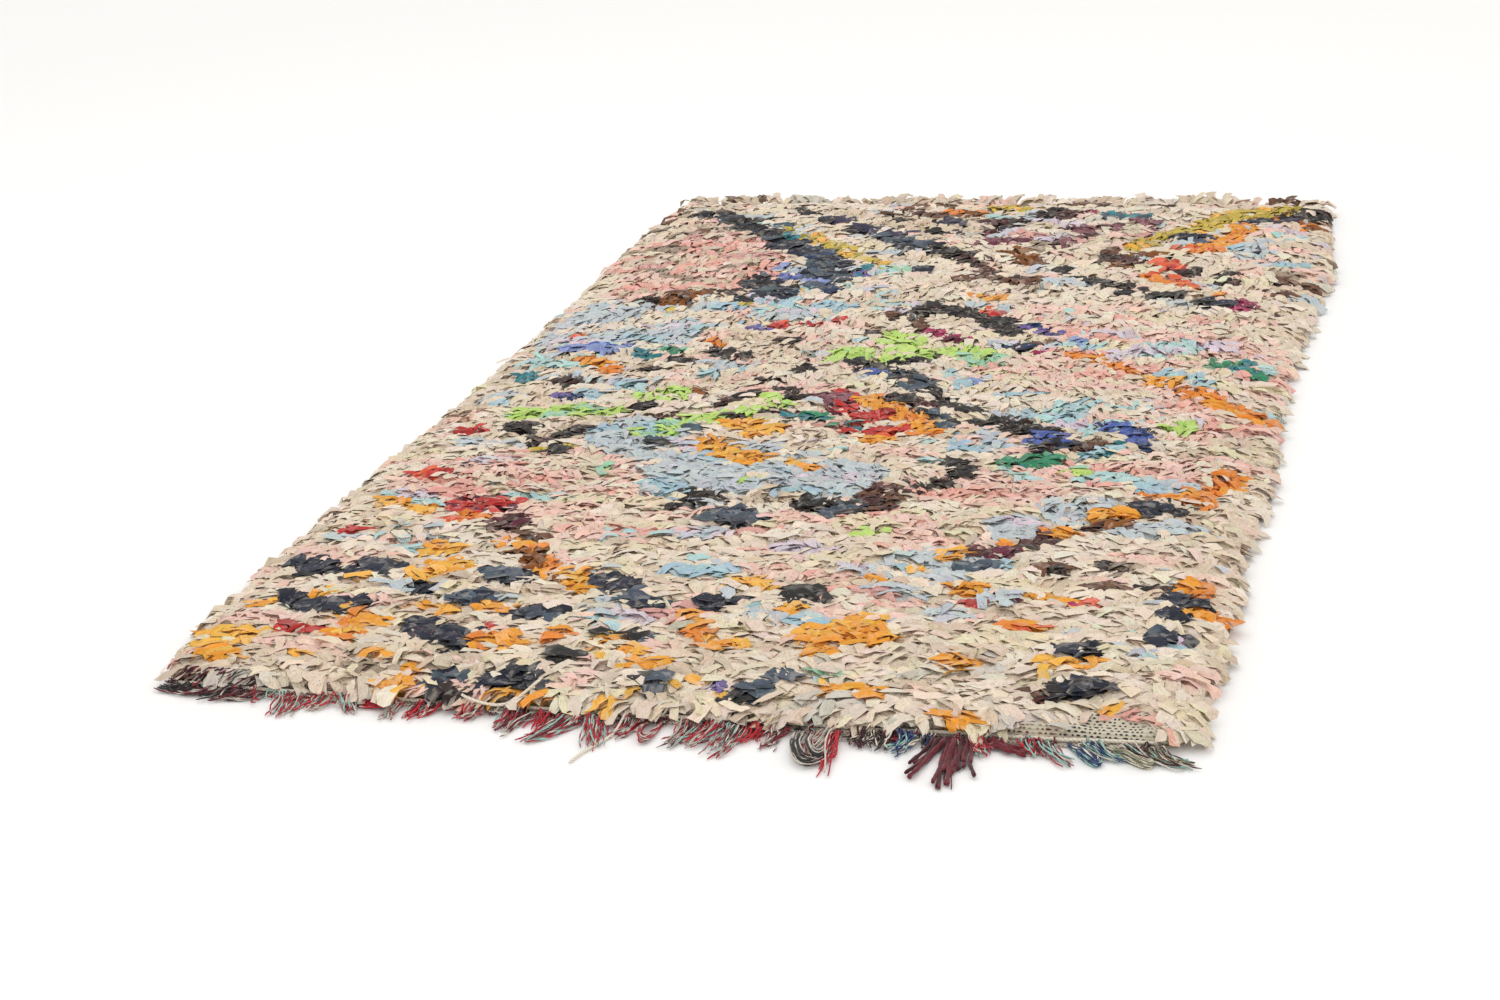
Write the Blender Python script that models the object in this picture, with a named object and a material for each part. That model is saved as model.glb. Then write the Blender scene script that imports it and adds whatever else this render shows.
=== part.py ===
"""A hand-knotted rag rug, laid flat: a shaggy field of knotted cloth strips, and its fringed woven end.

The frame: +X to the right across the rug, +Y from the fringed end to the plain end, +Z up.
The origin is the middle of the ground cloth's underside, which lies on the floor at z = 0.
"""

import math
import random
from collections import namedtuple

import bmesh
import bpy
from mathutils import Matrix, Vector, noise

# The woven ground, in metres
RUG_WIDTH = 1.42
RUG_LENGTH = 2.50
GROUND_THICKNESS = 0.008

# The near end bulges a little in the middle
NEAR_BOW = 0.010

# The rag pile that covers it
PILE_HEIGHT = 0.034
RIM_HEIGHT = 0.023
RIM_ROUNDING = 0.10
LUMP_HEIGHT = 0.009
LUMP_PITCH = 0.11
COLUMNS = 36
ROWS = 66

# How far each long side lies from the rug's middle line, along the rug
Side = namedtuple("Side", "along left right")
SIDES = [
    Side(along=-1.25, left=0.706, right=0.668),
    Side(along=-1.18, left=0.722, right=0.692),
    Side(along=-0.90, left=0.722, right=0.702),
    Side(along=-0.60, left=0.718, right=0.698),
    Side(along=-0.40, left=0.716, right=0.700),
    Side(along=-0.05, left=0.706, right=0.690),
    Side(along=0.30, left=0.702, right=0.702),
    Side(along=0.55, left=0.704, right=0.714),
    Side(along=0.78, left=0.708, right=0.730),
    Side(along=1.00, left=0.708, right=0.712),
    Side(along=1.25, left=0.700, right=0.704),
]

# Locks of cloth that lean out over the rim, each drawn out of the rim in rings
SIDE_LOCK_LENGTH = 0.030
NEAR_LOCK_LENGTH = 0.012
NEAR_LOCK_FLOOR = 0.0135
LOCK_SHARE = 0.72
SHORTEST_LOCK = 0.55
LOCK_SLANT = 0.006
LOCK_SEED = 11
Ring = namedtuple("Ring", "reach width height drop")
LOCK_RINGS = [
    Ring(reach=0.55, width=0.72, height=0.70, drop=0.10),
    Ring(reach=0.45, width=0.55, height=0.40, drop=0.45),
]

# The flat-woven band at the near end, parted from the knotted cloth, which holds the warp ends
PART_GAP = 0.0003
BAND_DEPTH = 0.014
BAND_HEIGHT = 0.005
BAND_LEFT = -0.700
BAND_RIGHT = 0.652

# Warp ends, in the bunches in which they lie on the floor. Leans are in degrees, + to the right
STRAND_WIDTH = 0.0042
STRAND_FILL = 0.72
STRAND_STEPS = 3
STRAND_TAPER = 0.86
STRAND_CURL = math.radians(3.0)
FRINGE_SEED = 5
LENGTH_SPREAD = 0.16
Bunch = namedtuple("Bunch", "start end strands lean_first lean_last length")
BUNCHES = [
    Bunch(start=-0.696, end=-0.612, strands=8, lean_first=-62, lean_last=-56, length=0.076),
    Bunch(start=-0.604, end=-0.548, strands=6, lean_first=-52, lean_last=-40, length=0.064),
    Bunch(start=-0.532, end=-0.488, strands=6, lean_first=-12, lean_last=-2, length=0.080),
    Bunch(start=-0.478, end=-0.446, strands=4, lean_first=-10, lean_last=-4, length=0.062),
    Bunch(start=-0.438, end=-0.418, strands=3, lean_first=-3, lean_last=2, length=0.058),
    Bunch(start=-0.392, end=-0.352, strands=5, lean_first=-20, lean_last=-10, length=0.056),
    Bunch(start=-0.334, end=-0.298, strands=5, lean_first=-20, lean_last=-12, length=0.054),
    Bunch(start=-0.268, end=-0.236, strands=4, lean_first=-18, lean_last=-12, length=0.046),
    Bunch(start=-0.212, end=-0.164, strands=6, lean_first=-16, lean_last=-8, length=0.070),
    Bunch(start=-0.154, end=-0.134, strands=3, lean_first=-6, lean_last=-4, length=0.042),
    Bunch(start=-0.122, end=-0.092, strands=4, lean_first=-6, lean_last=-2, length=0.084),
    Bunch(start=-0.078, end=-0.052, strands=3, lean_first=2, lean_last=6, length=0.086),
    Bunch(start=-0.034, end=0.008, strands=6, lean_first=-4, lean_last=2, length=0.062),
    Bunch(start=0.042, end=0.090, strands=6, lean_first=-18, lean_last=-10, length=0.084),
    Bunch(start=0.100, end=0.132, strands=4, lean_first=-10, lean_last=-8, length=0.100),
    Bunch(start=0.140, end=0.176, strands=5, lean_first=-8, lean_last=-4, length=0.078),
    Bunch(start=0.208, end=0.242, strands=5, lean_first=-4, lean_last=8, length=0.112),
    Bunch(start=0.272, end=0.312, strands=6, lean_first=-4, lean_last=4, length=0.050),
    Bunch(start=0.328, end=0.362, strands=5, lean_first=-4, lean_last=2, length=0.052),
    Bunch(start=0.374, end=0.418, strands=6, lean_first=-3, lean_last=6, length=0.128),
    Bunch(start=0.426, end=0.472, strands=6, lean_first=16, lean_last=26, length=0.058),
    Bunch(start=0.482, end=0.530, strands=6, lean_first=20, lean_last=30, length=0.076),
    Bunch(start=0.544, end=0.582, strands=5, lean_first=28, lean_last=38, length=0.068),
    Bunch(start=0.590, end=0.648, strands=7, lean_first=42, lean_last=52, length=0.080),
]

# The thick weft laid along the band's top, which finishes the end. It is six-sided and rests on a side
CORD_RADIUS = 0.003
CORD_FLAT = CORD_RADIUS * math.cos(math.pi / 6)
CORD_STEP = 0.030
CORD_SWAY = 0.0016
CORD_INSET = 0.006
CORD_TURN = 0.9


def clear_scene():
    """Removes everything that the startup file holds."""
    for obj in list(bpy.data.objects):
        bpy.data.objects.remove(obj)


def cloth(name, colour, roughness):
    """A matt material of one colour."""
    material = bpy.data.materials.new(name)
    material.use_nodes = True
    shader = material.node_tree.nodes["Principled BSDF"]
    shader.inputs["Base Color"].default_value = (*colour, 1.0)
    shader.inputs["Roughness"].default_value = roughness
    shader.inputs["Metallic"].default_value = 0.0
    return material


def add_mesh(name, bm, material):
    """Makes the finished bmesh an object of the scene."""
    mesh = bpy.data.meshes.new(name)
    bm.to_mesh(mesh)
    bm.free()
    mesh.materials.append(material)
    obj = bpy.data.objects.new(name, mesh)
    bpy.context.scene.collection.objects.link(obj)
    return obj


def smooth(share):
    """An S-shaped ramp from 0 to 1."""
    share = min(max(share, 0.0), 1.0)
    return share * share * (3.0 - 2.0 * share)


def side_at(along):
    """The distances of the left and right side from the middle line, at a place along the rug."""
    for lower, upper in zip(SIDES, SIDES[1:]):
        if along <= upper.along:
            share = smooth((along - lower.along) / (upper.along - lower.along))
            return (
                lower.left + share * (upper.left - lower.left),
                lower.right + share * (upper.right - lower.right),
            )
    return SIDES[-1].left, SIDES[-1].right


def near_edge(x):
    """Where the knotted cloth ends at the near end, at a place across the rug."""
    return NEAR_BOW / 2 - RUG_LENGTH / 2 - NEAR_BOW * (1.0 - (2 * x / RUG_WIDTH) ** 2)


def pile_top(x, y):
    """The height of the pile above the floor: lumpy, and lower towards the rim."""
    left, right = side_at(y)
    to_rim = min(x + left, right - x, y - near_edge(x), RUG_LENGTH / 2 - y)
    crown = smooth(to_rim / RIM_ROUNDING)
    lump = noise.noise(Vector((x, y, 0.0)) / LUMP_PITCH) * LUMP_HEIGHT
    fine = noise.noise(Vector((x, y, 1.0)) / (LUMP_PITCH / 2)) * LUMP_HEIGHT / 2
    return RIM_HEIGHT + crown * (PILE_HEIGHT - RIM_HEIGHT + lump) + fine


def field_surface():
    """The top of the knotted field, as a grid fitted to the rug's uneven outline."""
    bm = bmesh.new()
    bmesh.ops.create_grid(bm, x_segments=COLUMNS, y_segments=ROWS, size=0.5)
    for vert in bm.verts:
        along = vert.co.y + 0.5
        left, right = side_at((along - 0.5) * RUG_LENGTH)
        x = -left + (vert.co.x + 0.5) * (left + right)
        y = near_edge(x) + along * (RUG_LENGTH / 2 - near_edge(x))
        vert.co = Vector((x, y, pile_top(x, y)))
    return bm


def drop_rim(bm, edges, height):
    """Extrudes rim edges and puts the new ones at one height. Returns the new edges."""
    made = bmesh.ops.extrude_edge_only(bm, edges=edges)["geom"]
    for vert in made:
        if isinstance(vert, bmesh.types.BMVert):
            vert.co.z = height
    return [edge for edge in made if isinstance(edge, bmesh.types.BMEdge)]


def is_rim(face):
    """True for the upright faces round the pile, above the ground cloth."""
    low = min(vert.co.z for vert in face.verts)
    return abs(face.normal.z) < 0.5 and low > GROUND_THICKNESS / 2


def faces_near_end(face):
    """True for a rim face that looks along -Y, over the woven band."""
    return face.normal.y < -abs(face.normal.x)


def draw_lock(bm, face, length, slant, floor):
    """Draws one lock of cloth out of a rim face, ring by ring, no lower than the floor given."""
    out = Vector((face.normal.x, face.normal.y, 0.0)).normalized()
    for ring in LOCK_RINGS:
        face = bmesh.ops.extrude_discrete_faces(bm, faces=[face])["faces"][0]
        centre = face.calc_center_median()
        along = out.cross(Vector((0.0, 0.0, 1.0)))
        step = out * length * ring.reach + along * slant * ring.reach
        for vert in face.verts:
            offset = vert.co - centre
            across = offset.dot(along) * ring.width
            level = max(centre.z * (1.0 - ring.drop) + offset.z * ring.height, floor)
            vert.co = Vector((centre.x, centre.y, level)) + along * across + step


def by_place(face):
    """Orders faces by where they are, so that the chances fall alike each time."""
    centre = face.calc_center_median()
    return round(centre.y, 4), round(centre.x, 4)


def add_locks(bm):
    """Locks round the rim, some left out, each with its own length and slant."""
    bm.normal_update()
    chance = random.Random(LOCK_SEED)
    for face in sorted(filter(is_rim, bm.faces), key=by_place):
        keep = chance.random() < LOCK_SHARE
        reach = chance.uniform(SHORTEST_LOCK, 1.0)
        slant = chance.uniform(-LOCK_SLANT, LOCK_SLANT)
        if not keep:
            continue
        if faces_near_end(face):
            draw_lock(bm, face, NEAR_LOCK_LENGTH * reach, slant, NEAR_LOCK_FLOOR)
        else:
            draw_lock(bm, face, SIDE_LOCK_LENGTH * reach, slant, 0.0)


def build_rag_field():
    """The knotted cloth: woven ground and rag pile in one lumpy slab, closed by one flat underside."""
    bm = field_surface()
    rim = [edge for edge in bm.edges if edge.is_boundary]
    rim = drop_rim(bm, rim, GROUND_THICKNESS)
    rim = drop_rim(bm, rim, 0.0)
    bmesh.ops.contextual_create(bm, geom=rim)
    bmesh.ops.recalc_face_normals(bm, faces=bm.faces[:])
    add_locks(bm)
    bmesh.ops.triangulate(bm, faces=bm.faces[:], quad_method="BEAUTY", ngon_method="BEAUTY")
    return add_mesh("rag_field", bm, cloth("rag_cloth", (0.74, 0.66, 0.56), 0.95))


def strand_places(bunch):
    """The middle and the lean of each warp end in a bunch."""
    for index in range(bunch.strands):
        share = (index + 0.5) / bunch.strands
        middle = bunch.start + share * (bunch.end - bunch.start)
        lean = bunch.lean_first + share * (bunch.lean_last - bunch.lean_first)
        yield middle, math.radians(lean)


def strand_width(bunch):
    """As wide as leaves a gap to the next warp end when both lean over."""
    pitch = (bunch.end - bunch.start) / bunch.strands
    lean = math.radians(max(abs(bunch.lean_first), abs(bunch.lean_last)))
    return min(STRAND_WIDTH, STRAND_FILL * pitch * math.cos(lean))


def add_band(bm):
    """The band as a bar whose front holds the roots of the warp ends. Returns those faces by place."""
    stations = [BAND_LEFT, BAND_RIGHT]
    for bunch in BUNCHES:
        half = strand_width(bunch) / 2
        for middle, _ in strand_places(bunch):
            stations += [middle - half, middle + half]
    stations.sort()
    corners = ((0.0, 0.0), (0.0, BAND_HEIGHT), (BAND_DEPTH, BAND_HEIGHT), (BAND_DEPTH, 0.0))
    lines = [
        [bm.verts.new((x, near_edge(x) - PART_GAP - out, z)) for x in stations]
        for out, z in corners
    ]
    roots = {}
    for index in range(len(stations) - 1):
        for first, second in zip(lines, lines[1:] + lines[:1]):
            face = bm.faces.new((first[index], first[index + 1], second[index + 1], second[index]))
            if first is lines[2]:
                roots[round((stations[index] + stations[index + 1]) / 2, 6)] = face
    bm.faces.new([line[0] for line in lines])
    bm.faces.new([line[-1] for line in reversed(lines)])
    return roots


def draw_strand(bm, face, lean, length):
    """Draws a warp end out of its root, turning to its lean and lying level on the floor."""
    curl = math.copysign(STRAND_CURL, lean)
    turned = 0.0
    for step in range(STRAND_STEPS):
        face = bmesh.ops.extrude_discrete_faces(bm, faces=[face])["faces"][0]
        heading = lean * min((step + 1) / 2, 1.0) + curl * step
        centre = face.calc_center_median()
        foot = Vector((centre.x, centre.y, 0.0))
        forward = Vector((math.sin(heading), -math.cos(heading), 0.0))
        turn = Matrix.Rotation(heading - turned, 3, "Z")
        for vert in face.verts:
            vert.co = foot + turn @ (vert.co - foot) * STRAND_TAPER + forward * length / STRAND_STEPS
        turned = heading


def build_fringe():
    """The woven band with the warp ends that hang together at its front edge."""
    bm = bmesh.new()
    roots = add_band(bm)
    bmesh.ops.recalc_face_normals(bm, faces=bm.faces[:])
    chance = random.Random(FRINGE_SEED)
    for bunch in BUNCHES:
        for middle, lean in strand_places(bunch):
            length = bunch.length * (1.0 - chance.uniform(0.0, LENGTH_SPREAD))
            draw_strand(bm, roots[round(middle, 6)], lean, length)
    return add_mesh("warp_fringe", bm, cloth("warp_yarn", (0.30, 0.10, 0.11), 0.9))


def build_edge_cord():
    """The thick cotton weft that lies along the top of the band, swaying a little."""
    curve = bpy.data.curves.new("edge_cord", "CURVE")
    curve.dimensions = "3D"
    curve.bevel_depth = CORD_RADIUS
    curve.bevel_resolution = 1
    curve.use_fill_caps = True
    spline = curve.splines.new("POLY")
    steps = round((BAND_RIGHT - BAND_LEFT - 2 * CORD_INSET) / CORD_STEP)
    spline.points.add(steps)
    for index, point in enumerate(spline.points):
        share = index / steps
        x = BAND_LEFT + CORD_INSET + share * (BAND_RIGHT - BAND_LEFT - 2 * CORD_INSET)
        y = near_edge(x) - PART_GAP - BAND_DEPTH / 2 + CORD_SWAY * math.sin(index * CORD_TURN)
        point.co = (x, y, BAND_HEIGHT + PART_GAP + CORD_FLAT, 1.0)
    curve.materials.append(cloth("cotton_cord", (0.72, 0.66, 0.55), 0.9))
    obj = bpy.data.objects.new("edge_cord", curve)
    bpy.context.scene.collection.objects.link(obj)
    return obj


def main():
    clear_scene()
    build_rag_field()
    build_fringe()
    build_edge_cord()


main()
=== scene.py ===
"""The looks of a hand-knotted rag rug that lies flat on a pale floor.

Rows of torn cloth strips are knotted on a woven ground. A short woven band closes the near end. Its warp
ends lie loose on the floor as a fringe, and a thick cotton cord lies along it. All sizes are in metres, in
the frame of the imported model: +X to the right across the rug, +Y from the fringed end to the plain end, +Z
up, the floor at z = 0. Angles are in degrees where they are listed.
"""

from __future__ import annotations

import logging
import math
from collections.abc import Iterable
from dataclasses import dataclass
from enum import Enum

import bpy
import numpy as np
from mathutils import Matrix, Vector, noise

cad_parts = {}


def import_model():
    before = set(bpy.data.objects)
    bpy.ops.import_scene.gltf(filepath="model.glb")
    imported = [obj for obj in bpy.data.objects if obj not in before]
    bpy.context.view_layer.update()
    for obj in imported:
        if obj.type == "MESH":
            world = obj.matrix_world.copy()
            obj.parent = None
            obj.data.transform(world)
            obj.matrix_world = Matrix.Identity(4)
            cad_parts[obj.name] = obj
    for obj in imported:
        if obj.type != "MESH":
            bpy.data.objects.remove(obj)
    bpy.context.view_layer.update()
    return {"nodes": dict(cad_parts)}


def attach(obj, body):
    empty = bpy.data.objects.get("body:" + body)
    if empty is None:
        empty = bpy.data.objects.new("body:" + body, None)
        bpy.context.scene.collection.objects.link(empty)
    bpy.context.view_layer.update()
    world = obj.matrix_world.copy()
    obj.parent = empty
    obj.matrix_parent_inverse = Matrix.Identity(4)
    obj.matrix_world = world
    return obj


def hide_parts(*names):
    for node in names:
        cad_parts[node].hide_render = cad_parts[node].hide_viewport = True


LOG = logging.getLogger("rag_rug")
BODY = "root"


@dataclass(frozen=True)
class Ease:
    """A change that begins at one place and is done a span further on. A negative span runs back."""

    start: float
    span: float

    def at(self, place: np.ndarray) -> np.ndarray:
        """Returns how far the change has come at each place, 0 to 1."""
        return smooth((place - self.start) / self.span)


@dataclass(frozen=True)
class Side:
    """How far the long sides lie from the rug's middle line, at one place along the rug."""

    along: float
    left: float
    right: float


@dataclass(frozen=True)
class Outline:
    """The uneven outline of the knotted cloth, with the same sizes as the solids."""

    wide: float = 1.42
    length: float = 2.50
    bow: float = 0.010
    sides: tuple[Side, ...] = (
        Side(-1.25, 0.706, 0.668),
        Side(-1.18, 0.722, 0.692),
        Side(-0.90, 0.722, 0.702),
        Side(-0.60, 0.718, 0.698),
        Side(-0.40, 0.716, 0.700),
        Side(-0.05, 0.706, 0.690),
        Side(0.30, 0.702, 0.702),
        Side(0.55, 0.704, 0.714),
        Side(0.78, 0.708, 0.730),
        Side(1.00, 0.708, 0.712),
        Side(1.25, 0.700, 0.704),
    )

    def far(self) -> float:
        """Returns where the plain end is."""
        return self.length / 2

    def near(self, x: np.ndarray) -> np.ndarray:
        """Returns the bowed edge's place along the rug, for each place across it."""
        return self.bow / 2 - self.length / 2 - self.bow * (1.0 - (2 * x / self.wide) ** 2)

    def reach(self, y: np.ndarray) -> tuple[np.ndarray, np.ndarray]:
        """How far the cloth reaches to the left and the right.

        Args:
            y: Places along the rug.

        Returns:
            The two distances from the middle line, for each place.
        """
        along = listed(self.sides, "along")
        index = np.clip(np.searchsorted(along, y) - 1, 0, len(along) - 2)
        share = smooth((y - along[index]) / (along[index + 1] - along[index]))
        left, right = listed(self.sides, "left"), listed(self.sides, "right")
        return (
            left[index] + share * (left[index + 1] - left[index]),
            right[index] + share * (right[index + 1] - right[index]),
        )

    def place(self, across: np.ndarray, along: np.ndarray) -> tuple[np.ndarray, np.ndarray]:
        """Turns shares of the width and the length into a place on the cloth.

        Args:
            across: Shares from the left side to the right side, 0 to 1.
            along: Shares from the near edge to the far edge, 0 to 1.

        Returns:
            The places' x and y.
        """
        left, right = self.reach((along - 0.5) * self.length)
        x = -left + across * (left + right)
        near = self.near(x)
        return x, near + along * (self.far() - near)


class Rag(Enum):
    """The kinds of rag. The strips of each kind are one piece of the model."""

    IVORY = "rags_ivory"
    CREAM = "rags_cream"
    BEIGE = "rags_beige"
    ROSE = "rags_rose"
    SKY = "rags_sky"
    CHARCOAL = "rags_charcoal"
    BROWN = "rags_brown"
    ORANGE = "rags_orange"
    RED = "rags_red"
    GREEN = "rags_green"
    BLUE = "rags_blue"


@dataclass(frozen=True)
class Cut:
    """How one kind of rag is torn, how many strip ends a knot has, and how the cloth creases and shines."""

    ends: float
    wide: float
    long: float
    pleat: float
    crumple: float
    proud: float
    sheen: float
    print_share: float
    columns: int = 3


CUTS = {
    Rag.IVORY: Cut(2.8, 0.0130, 0.036, 0.0026, 0.0012, 0.000, 0.06, 0.10),
    Rag.CREAM: Cut(2.8, 0.0125, 0.036, 0.0026, 0.0014, 0.000, 0.06, 0.16),
    Rag.BEIGE: Cut(2.7, 0.0115, 0.036, 0.0026, 0.0014, -0.001, 0.06, 0.22),
    Rag.ROSE: Cut(2.8, 0.0105, 0.035, 0.0024, 0.0014, 0.000, 0.06, 0.12),
    Rag.SKY: Cut(2.7, 0.0125, 0.036, 0.0024, 0.0012, 0.001, 0.06, 0.08),
    Rag.CHARCOAL: Cut(1.8, 0.0250, 0.036, 0.0018, 0.0011, 0.003, 0.02, 0.02, 4),
    Rag.BROWN: Cut(2.8, 0.0115, 0.034, 0.0024, 0.0014, 0.002, 0.03, 0.04),
    Rag.ORANGE: Cut(3.0, 0.0105, 0.033, 0.0026, 0.0014, 0.002, 0.04, 0.02),
    Rag.RED: Cut(2.8, 0.0125, 0.034, 0.0024, 0.0014, 0.002, 0.04, 0.02),
    Rag.GREEN: Cut(2.8, 0.0125, 0.034, 0.0024, 0.0014, 0.002, 0.05, 0.04),
    Rag.BLUE: Cut(2.8, 0.0125, 0.034, 0.0024, 0.0014, 0.002, 0.04, 0.04),
}


@dataclass(frozen=True)
class Shade:
    """One dyed cloth: its sRGB colour, the kind of rag, and how much its strips differ in lightness."""

    colour: str
    rag: Rag
    spread: float = 0.05

    def linear(self) -> np.ndarray:
        """Returns the colour as linear light."""
        return linear(self.colour)


SHADES = {
    "ivory": Shade("E4D7C5", Rag.IVORY),
    "cream": Shade("DFCFBA", Rag.CREAM),
    "butter": Shade("E1D4B6", Rag.CREAM),
    "beige": Shade("D3C1AA", Rag.BEIGE),
    "oat": Shade("C9B8A2", Rag.BEIGE),
    "taupe": Shade("9E8C78", Rag.BEIGE, 0.16),
    "stone": Shade("C9C3B6", Rag.BEIGE),
    "blush": Shade("E7C4B6", Rag.ROSE),
    "salmon": Shade("E2A99C", Rag.ROSE),
    "dusty": Shade("CD9C94", Rag.ROSE),
    "lilac": Shade("D2C6D2", Rag.ROSE),
    "mist": Shade("BCC5CA", Rag.SKY),
    "sky": Shade("A3C1CD", Rag.SKY),
    "aqua": Shade("AFD0CF", Rag.SKY),
    "navy": Shade("282C3A", Rag.CHARCOAL, 0.18),
    "charcoal": Shade("2B2929", Rag.CHARCOAL, 0.20),
    "slate": Shade("46525F", Rag.CHARCOAL, 0.16),
    "aubergine": Shade("37324A", Rag.CHARCOAL, 0.16),
    "maroon": Shade("4C2C2B", Rag.BROWN, 0.16),
    "umber": Shade("352B27", Rag.BROWN, 0.18),
    "rust": Shade("7E4A1C", Rag.BROWN, 0.14),
    "brown": Shade("684735", Rag.BROWN, 0.16),
    "mauve": Shade("80505A", Rag.BROWN, 0.14),
    "orange": Shade("E59C34", Rag.ORANGE),
    "amber": Shade("EAB14C", Rag.ORANGE),
    "tangerine": Shade("E08635", Rag.ORANGE),
    "mustard": Shade("BFA845", Rag.ORANGE, 0.14),
    "red": Shade("BB3330", Rag.RED, 0.14),
    "coral": Shade("D85C38", Rag.RED, 0.14),
    "magenta": Shade("A62C5E", Rag.RED, 0.14),
    "plum": Shade("632A3C", Rag.RED, 0.16),
    "lime": Shade("B9D872", Rag.GREEN),
    "mint": Shade("9CC9AC", Rag.GREEN),
    "green": Shade("2F7F5C", Rag.GREEN, 0.16),
    "teal": Shade("2D7781", Rag.GREEN, 0.16),
    "royal": Shade("4B60A6", Rag.BLUE, 0.14),
    "ink": Shade("2E3F66", Rag.BLUE, 0.14),
    "periwinkle": Shade("8495C8", Rag.BLUE),
    "violet": Shade("6C5C9C", Rag.BLUE, 0.14),
}


@dataclass(frozen=True)
class Field:
    """A rounded part of the background. A rag's share of it is how often it is named, as in cream*3."""

    rags: str
    middle: tuple[float, float]
    reach: tuple[float, float]


@dataclass(frozen=True)
class Band:
    """A free line of the design, knotted along its places."""

    rags: str
    wide: float
    places: tuple[tuple[float, float], ...]


@dataclass(frozen=True)
class Spots:
    """Separate spots of the design, wider across the rug than along it."""

    rags: str
    wide: float
    places: tuple[tuple[float, float], ...]


PALE = "ivory*5 cream*6 blush beige*2 butter mist oat blush"
NEAR_MIX = "ivory*3 cream*6 butter beige*2 cream oat stone beige blush"
BLUSHES = "blush*5 salmon cream*3 ivory beige*2 dusty blush salmon"
DUSK = "blush*2 salmon*2 cream*2 beige*2 oat dusty blush salmon taupe"
ROSY = "blush*4 cream*2 ivory*2 salmon*2 butter lilac aqua blush"
ICE = "mist*8 sky mist ivory lilac"
ICY = "mist*2 sky aqua cream*2 ivory*3 beige lilac blush"
EARTH = "beige*3 oat*2 taupe cream*2 ivory blush stone brown"
MAUVES = "blush cream*2 ivory beige*2 taupe mauve stone dusty lilac beige"

FIELDS = (
    Field(NEAR_MIX, (0.0, -1.22), (1.2, 0.30)),
    Field("cream beige oat butter taupe cream beige oat ivory stone blush", (-0.55, -1.10), (0.26, 0.17)),
    Field(EARTH, (0.0, 1.33), (0.90, 0.055)),
    Field(EARTH, (-0.66, 1.12), (0.12, 0.16)),
    Field(EARTH, (-0.10, 1.12), (0.16, 0.16)),
    Field(MAUVES, (0.22, 1.02), (0.17, 0.17)),
    Field(EARTH, (0.70, 0.82), (0.08, 0.24)),
    Field(ICY, (0.64, 0.92), (0.10, 0.12)),
    Field(DUSK, (-0.56, 0.80), (0.21, 0.25)),
    Field(DUSK, (-0.52, 0.62), (0.16, 0.10)),
    Field(ICY, (-0.26, 0.50), (0.26, 0.12)),
    Field(ROSY, (0.34, 0.40), (0.22, 0.13)),
    Field(ROSY, (0.46, 0.16), (0.30, 0.20)),
    Field(ROSY, (0.45, -0.08), (0.26, 0.12)),
    Field(ICE, (-0.57, 0.31), (0.16, 0.17)),
    Field(ICY, (-0.60, 0.12), (0.12, 0.12)),
    Field(ICY, (-0.45, 0.42), (0.14, 0.10)),
    Field(ICY, (0.28, -0.08), (0.12, 0.08)),
    Field(ICY, (-0.48, -0.06), (0.12, 0.06)),
    Field(ICE, (-0.35, -0.27), (0.095, 0.09)),
    Field(ICE, (-0.20, -0.41), (0.23, 0.125)),
    Field(ICE, (0.03, -0.43), (0.09, 0.085)),
    Field(ICY, (-0.02, -0.27), (0.06, 0.05)),
    Field(ICY, (0.22, -0.28), (0.10, 0.08)),
    Field(BLUSHES, (-0.47, -0.48), (0.19, 0.14)),
    Field(ROSY, (-0.58, -0.52), (0.12, 0.12)),
    Field(ROSY, (-0.32, -0.62), (0.22, 0.10)),
    Field(BLUSHES, (0.28, -0.44), (0.16, 0.09)),
    Field(ROSY, (0.10, -0.66), (0.18, 0.12)),
    Field(ROSY, (0.45, -0.36), (0.18, 0.08)),
    Field(ICE, (0.27, -0.75), (0.10, 0.055)),
    Field(ICE, (0.36, -0.60), (0.05, 0.05)),
    Field(ICE, (0.43, -0.52), (0.05, 0.045)),
    Field(ICE, (0.56, -0.43), (0.05, 0.035)),
    Field(ICY, (-0.60, -0.74), (0.10, 0.05)),
    Field(ICY, (-0.10, -0.80), (0.09, 0.04)),
    Field(ICY, (0.14, -0.94), (0.12, 0.035)),
    Field(ICY, (-0.15, -0.98), (0.06, 0.03)),
    Field(ICY, (0.62, -0.99), (0.06, 0.04)),
    Field("cream*2 ivory beige cream butter", (0.66, -1.19), (0.10, 0.08)),
    Field(BLUSHES, (0.16, -0.87), (0.07, 0.03)),
    Field(BLUSHES, (-0.06, -0.96), (0.05, 0.03)),
)

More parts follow.
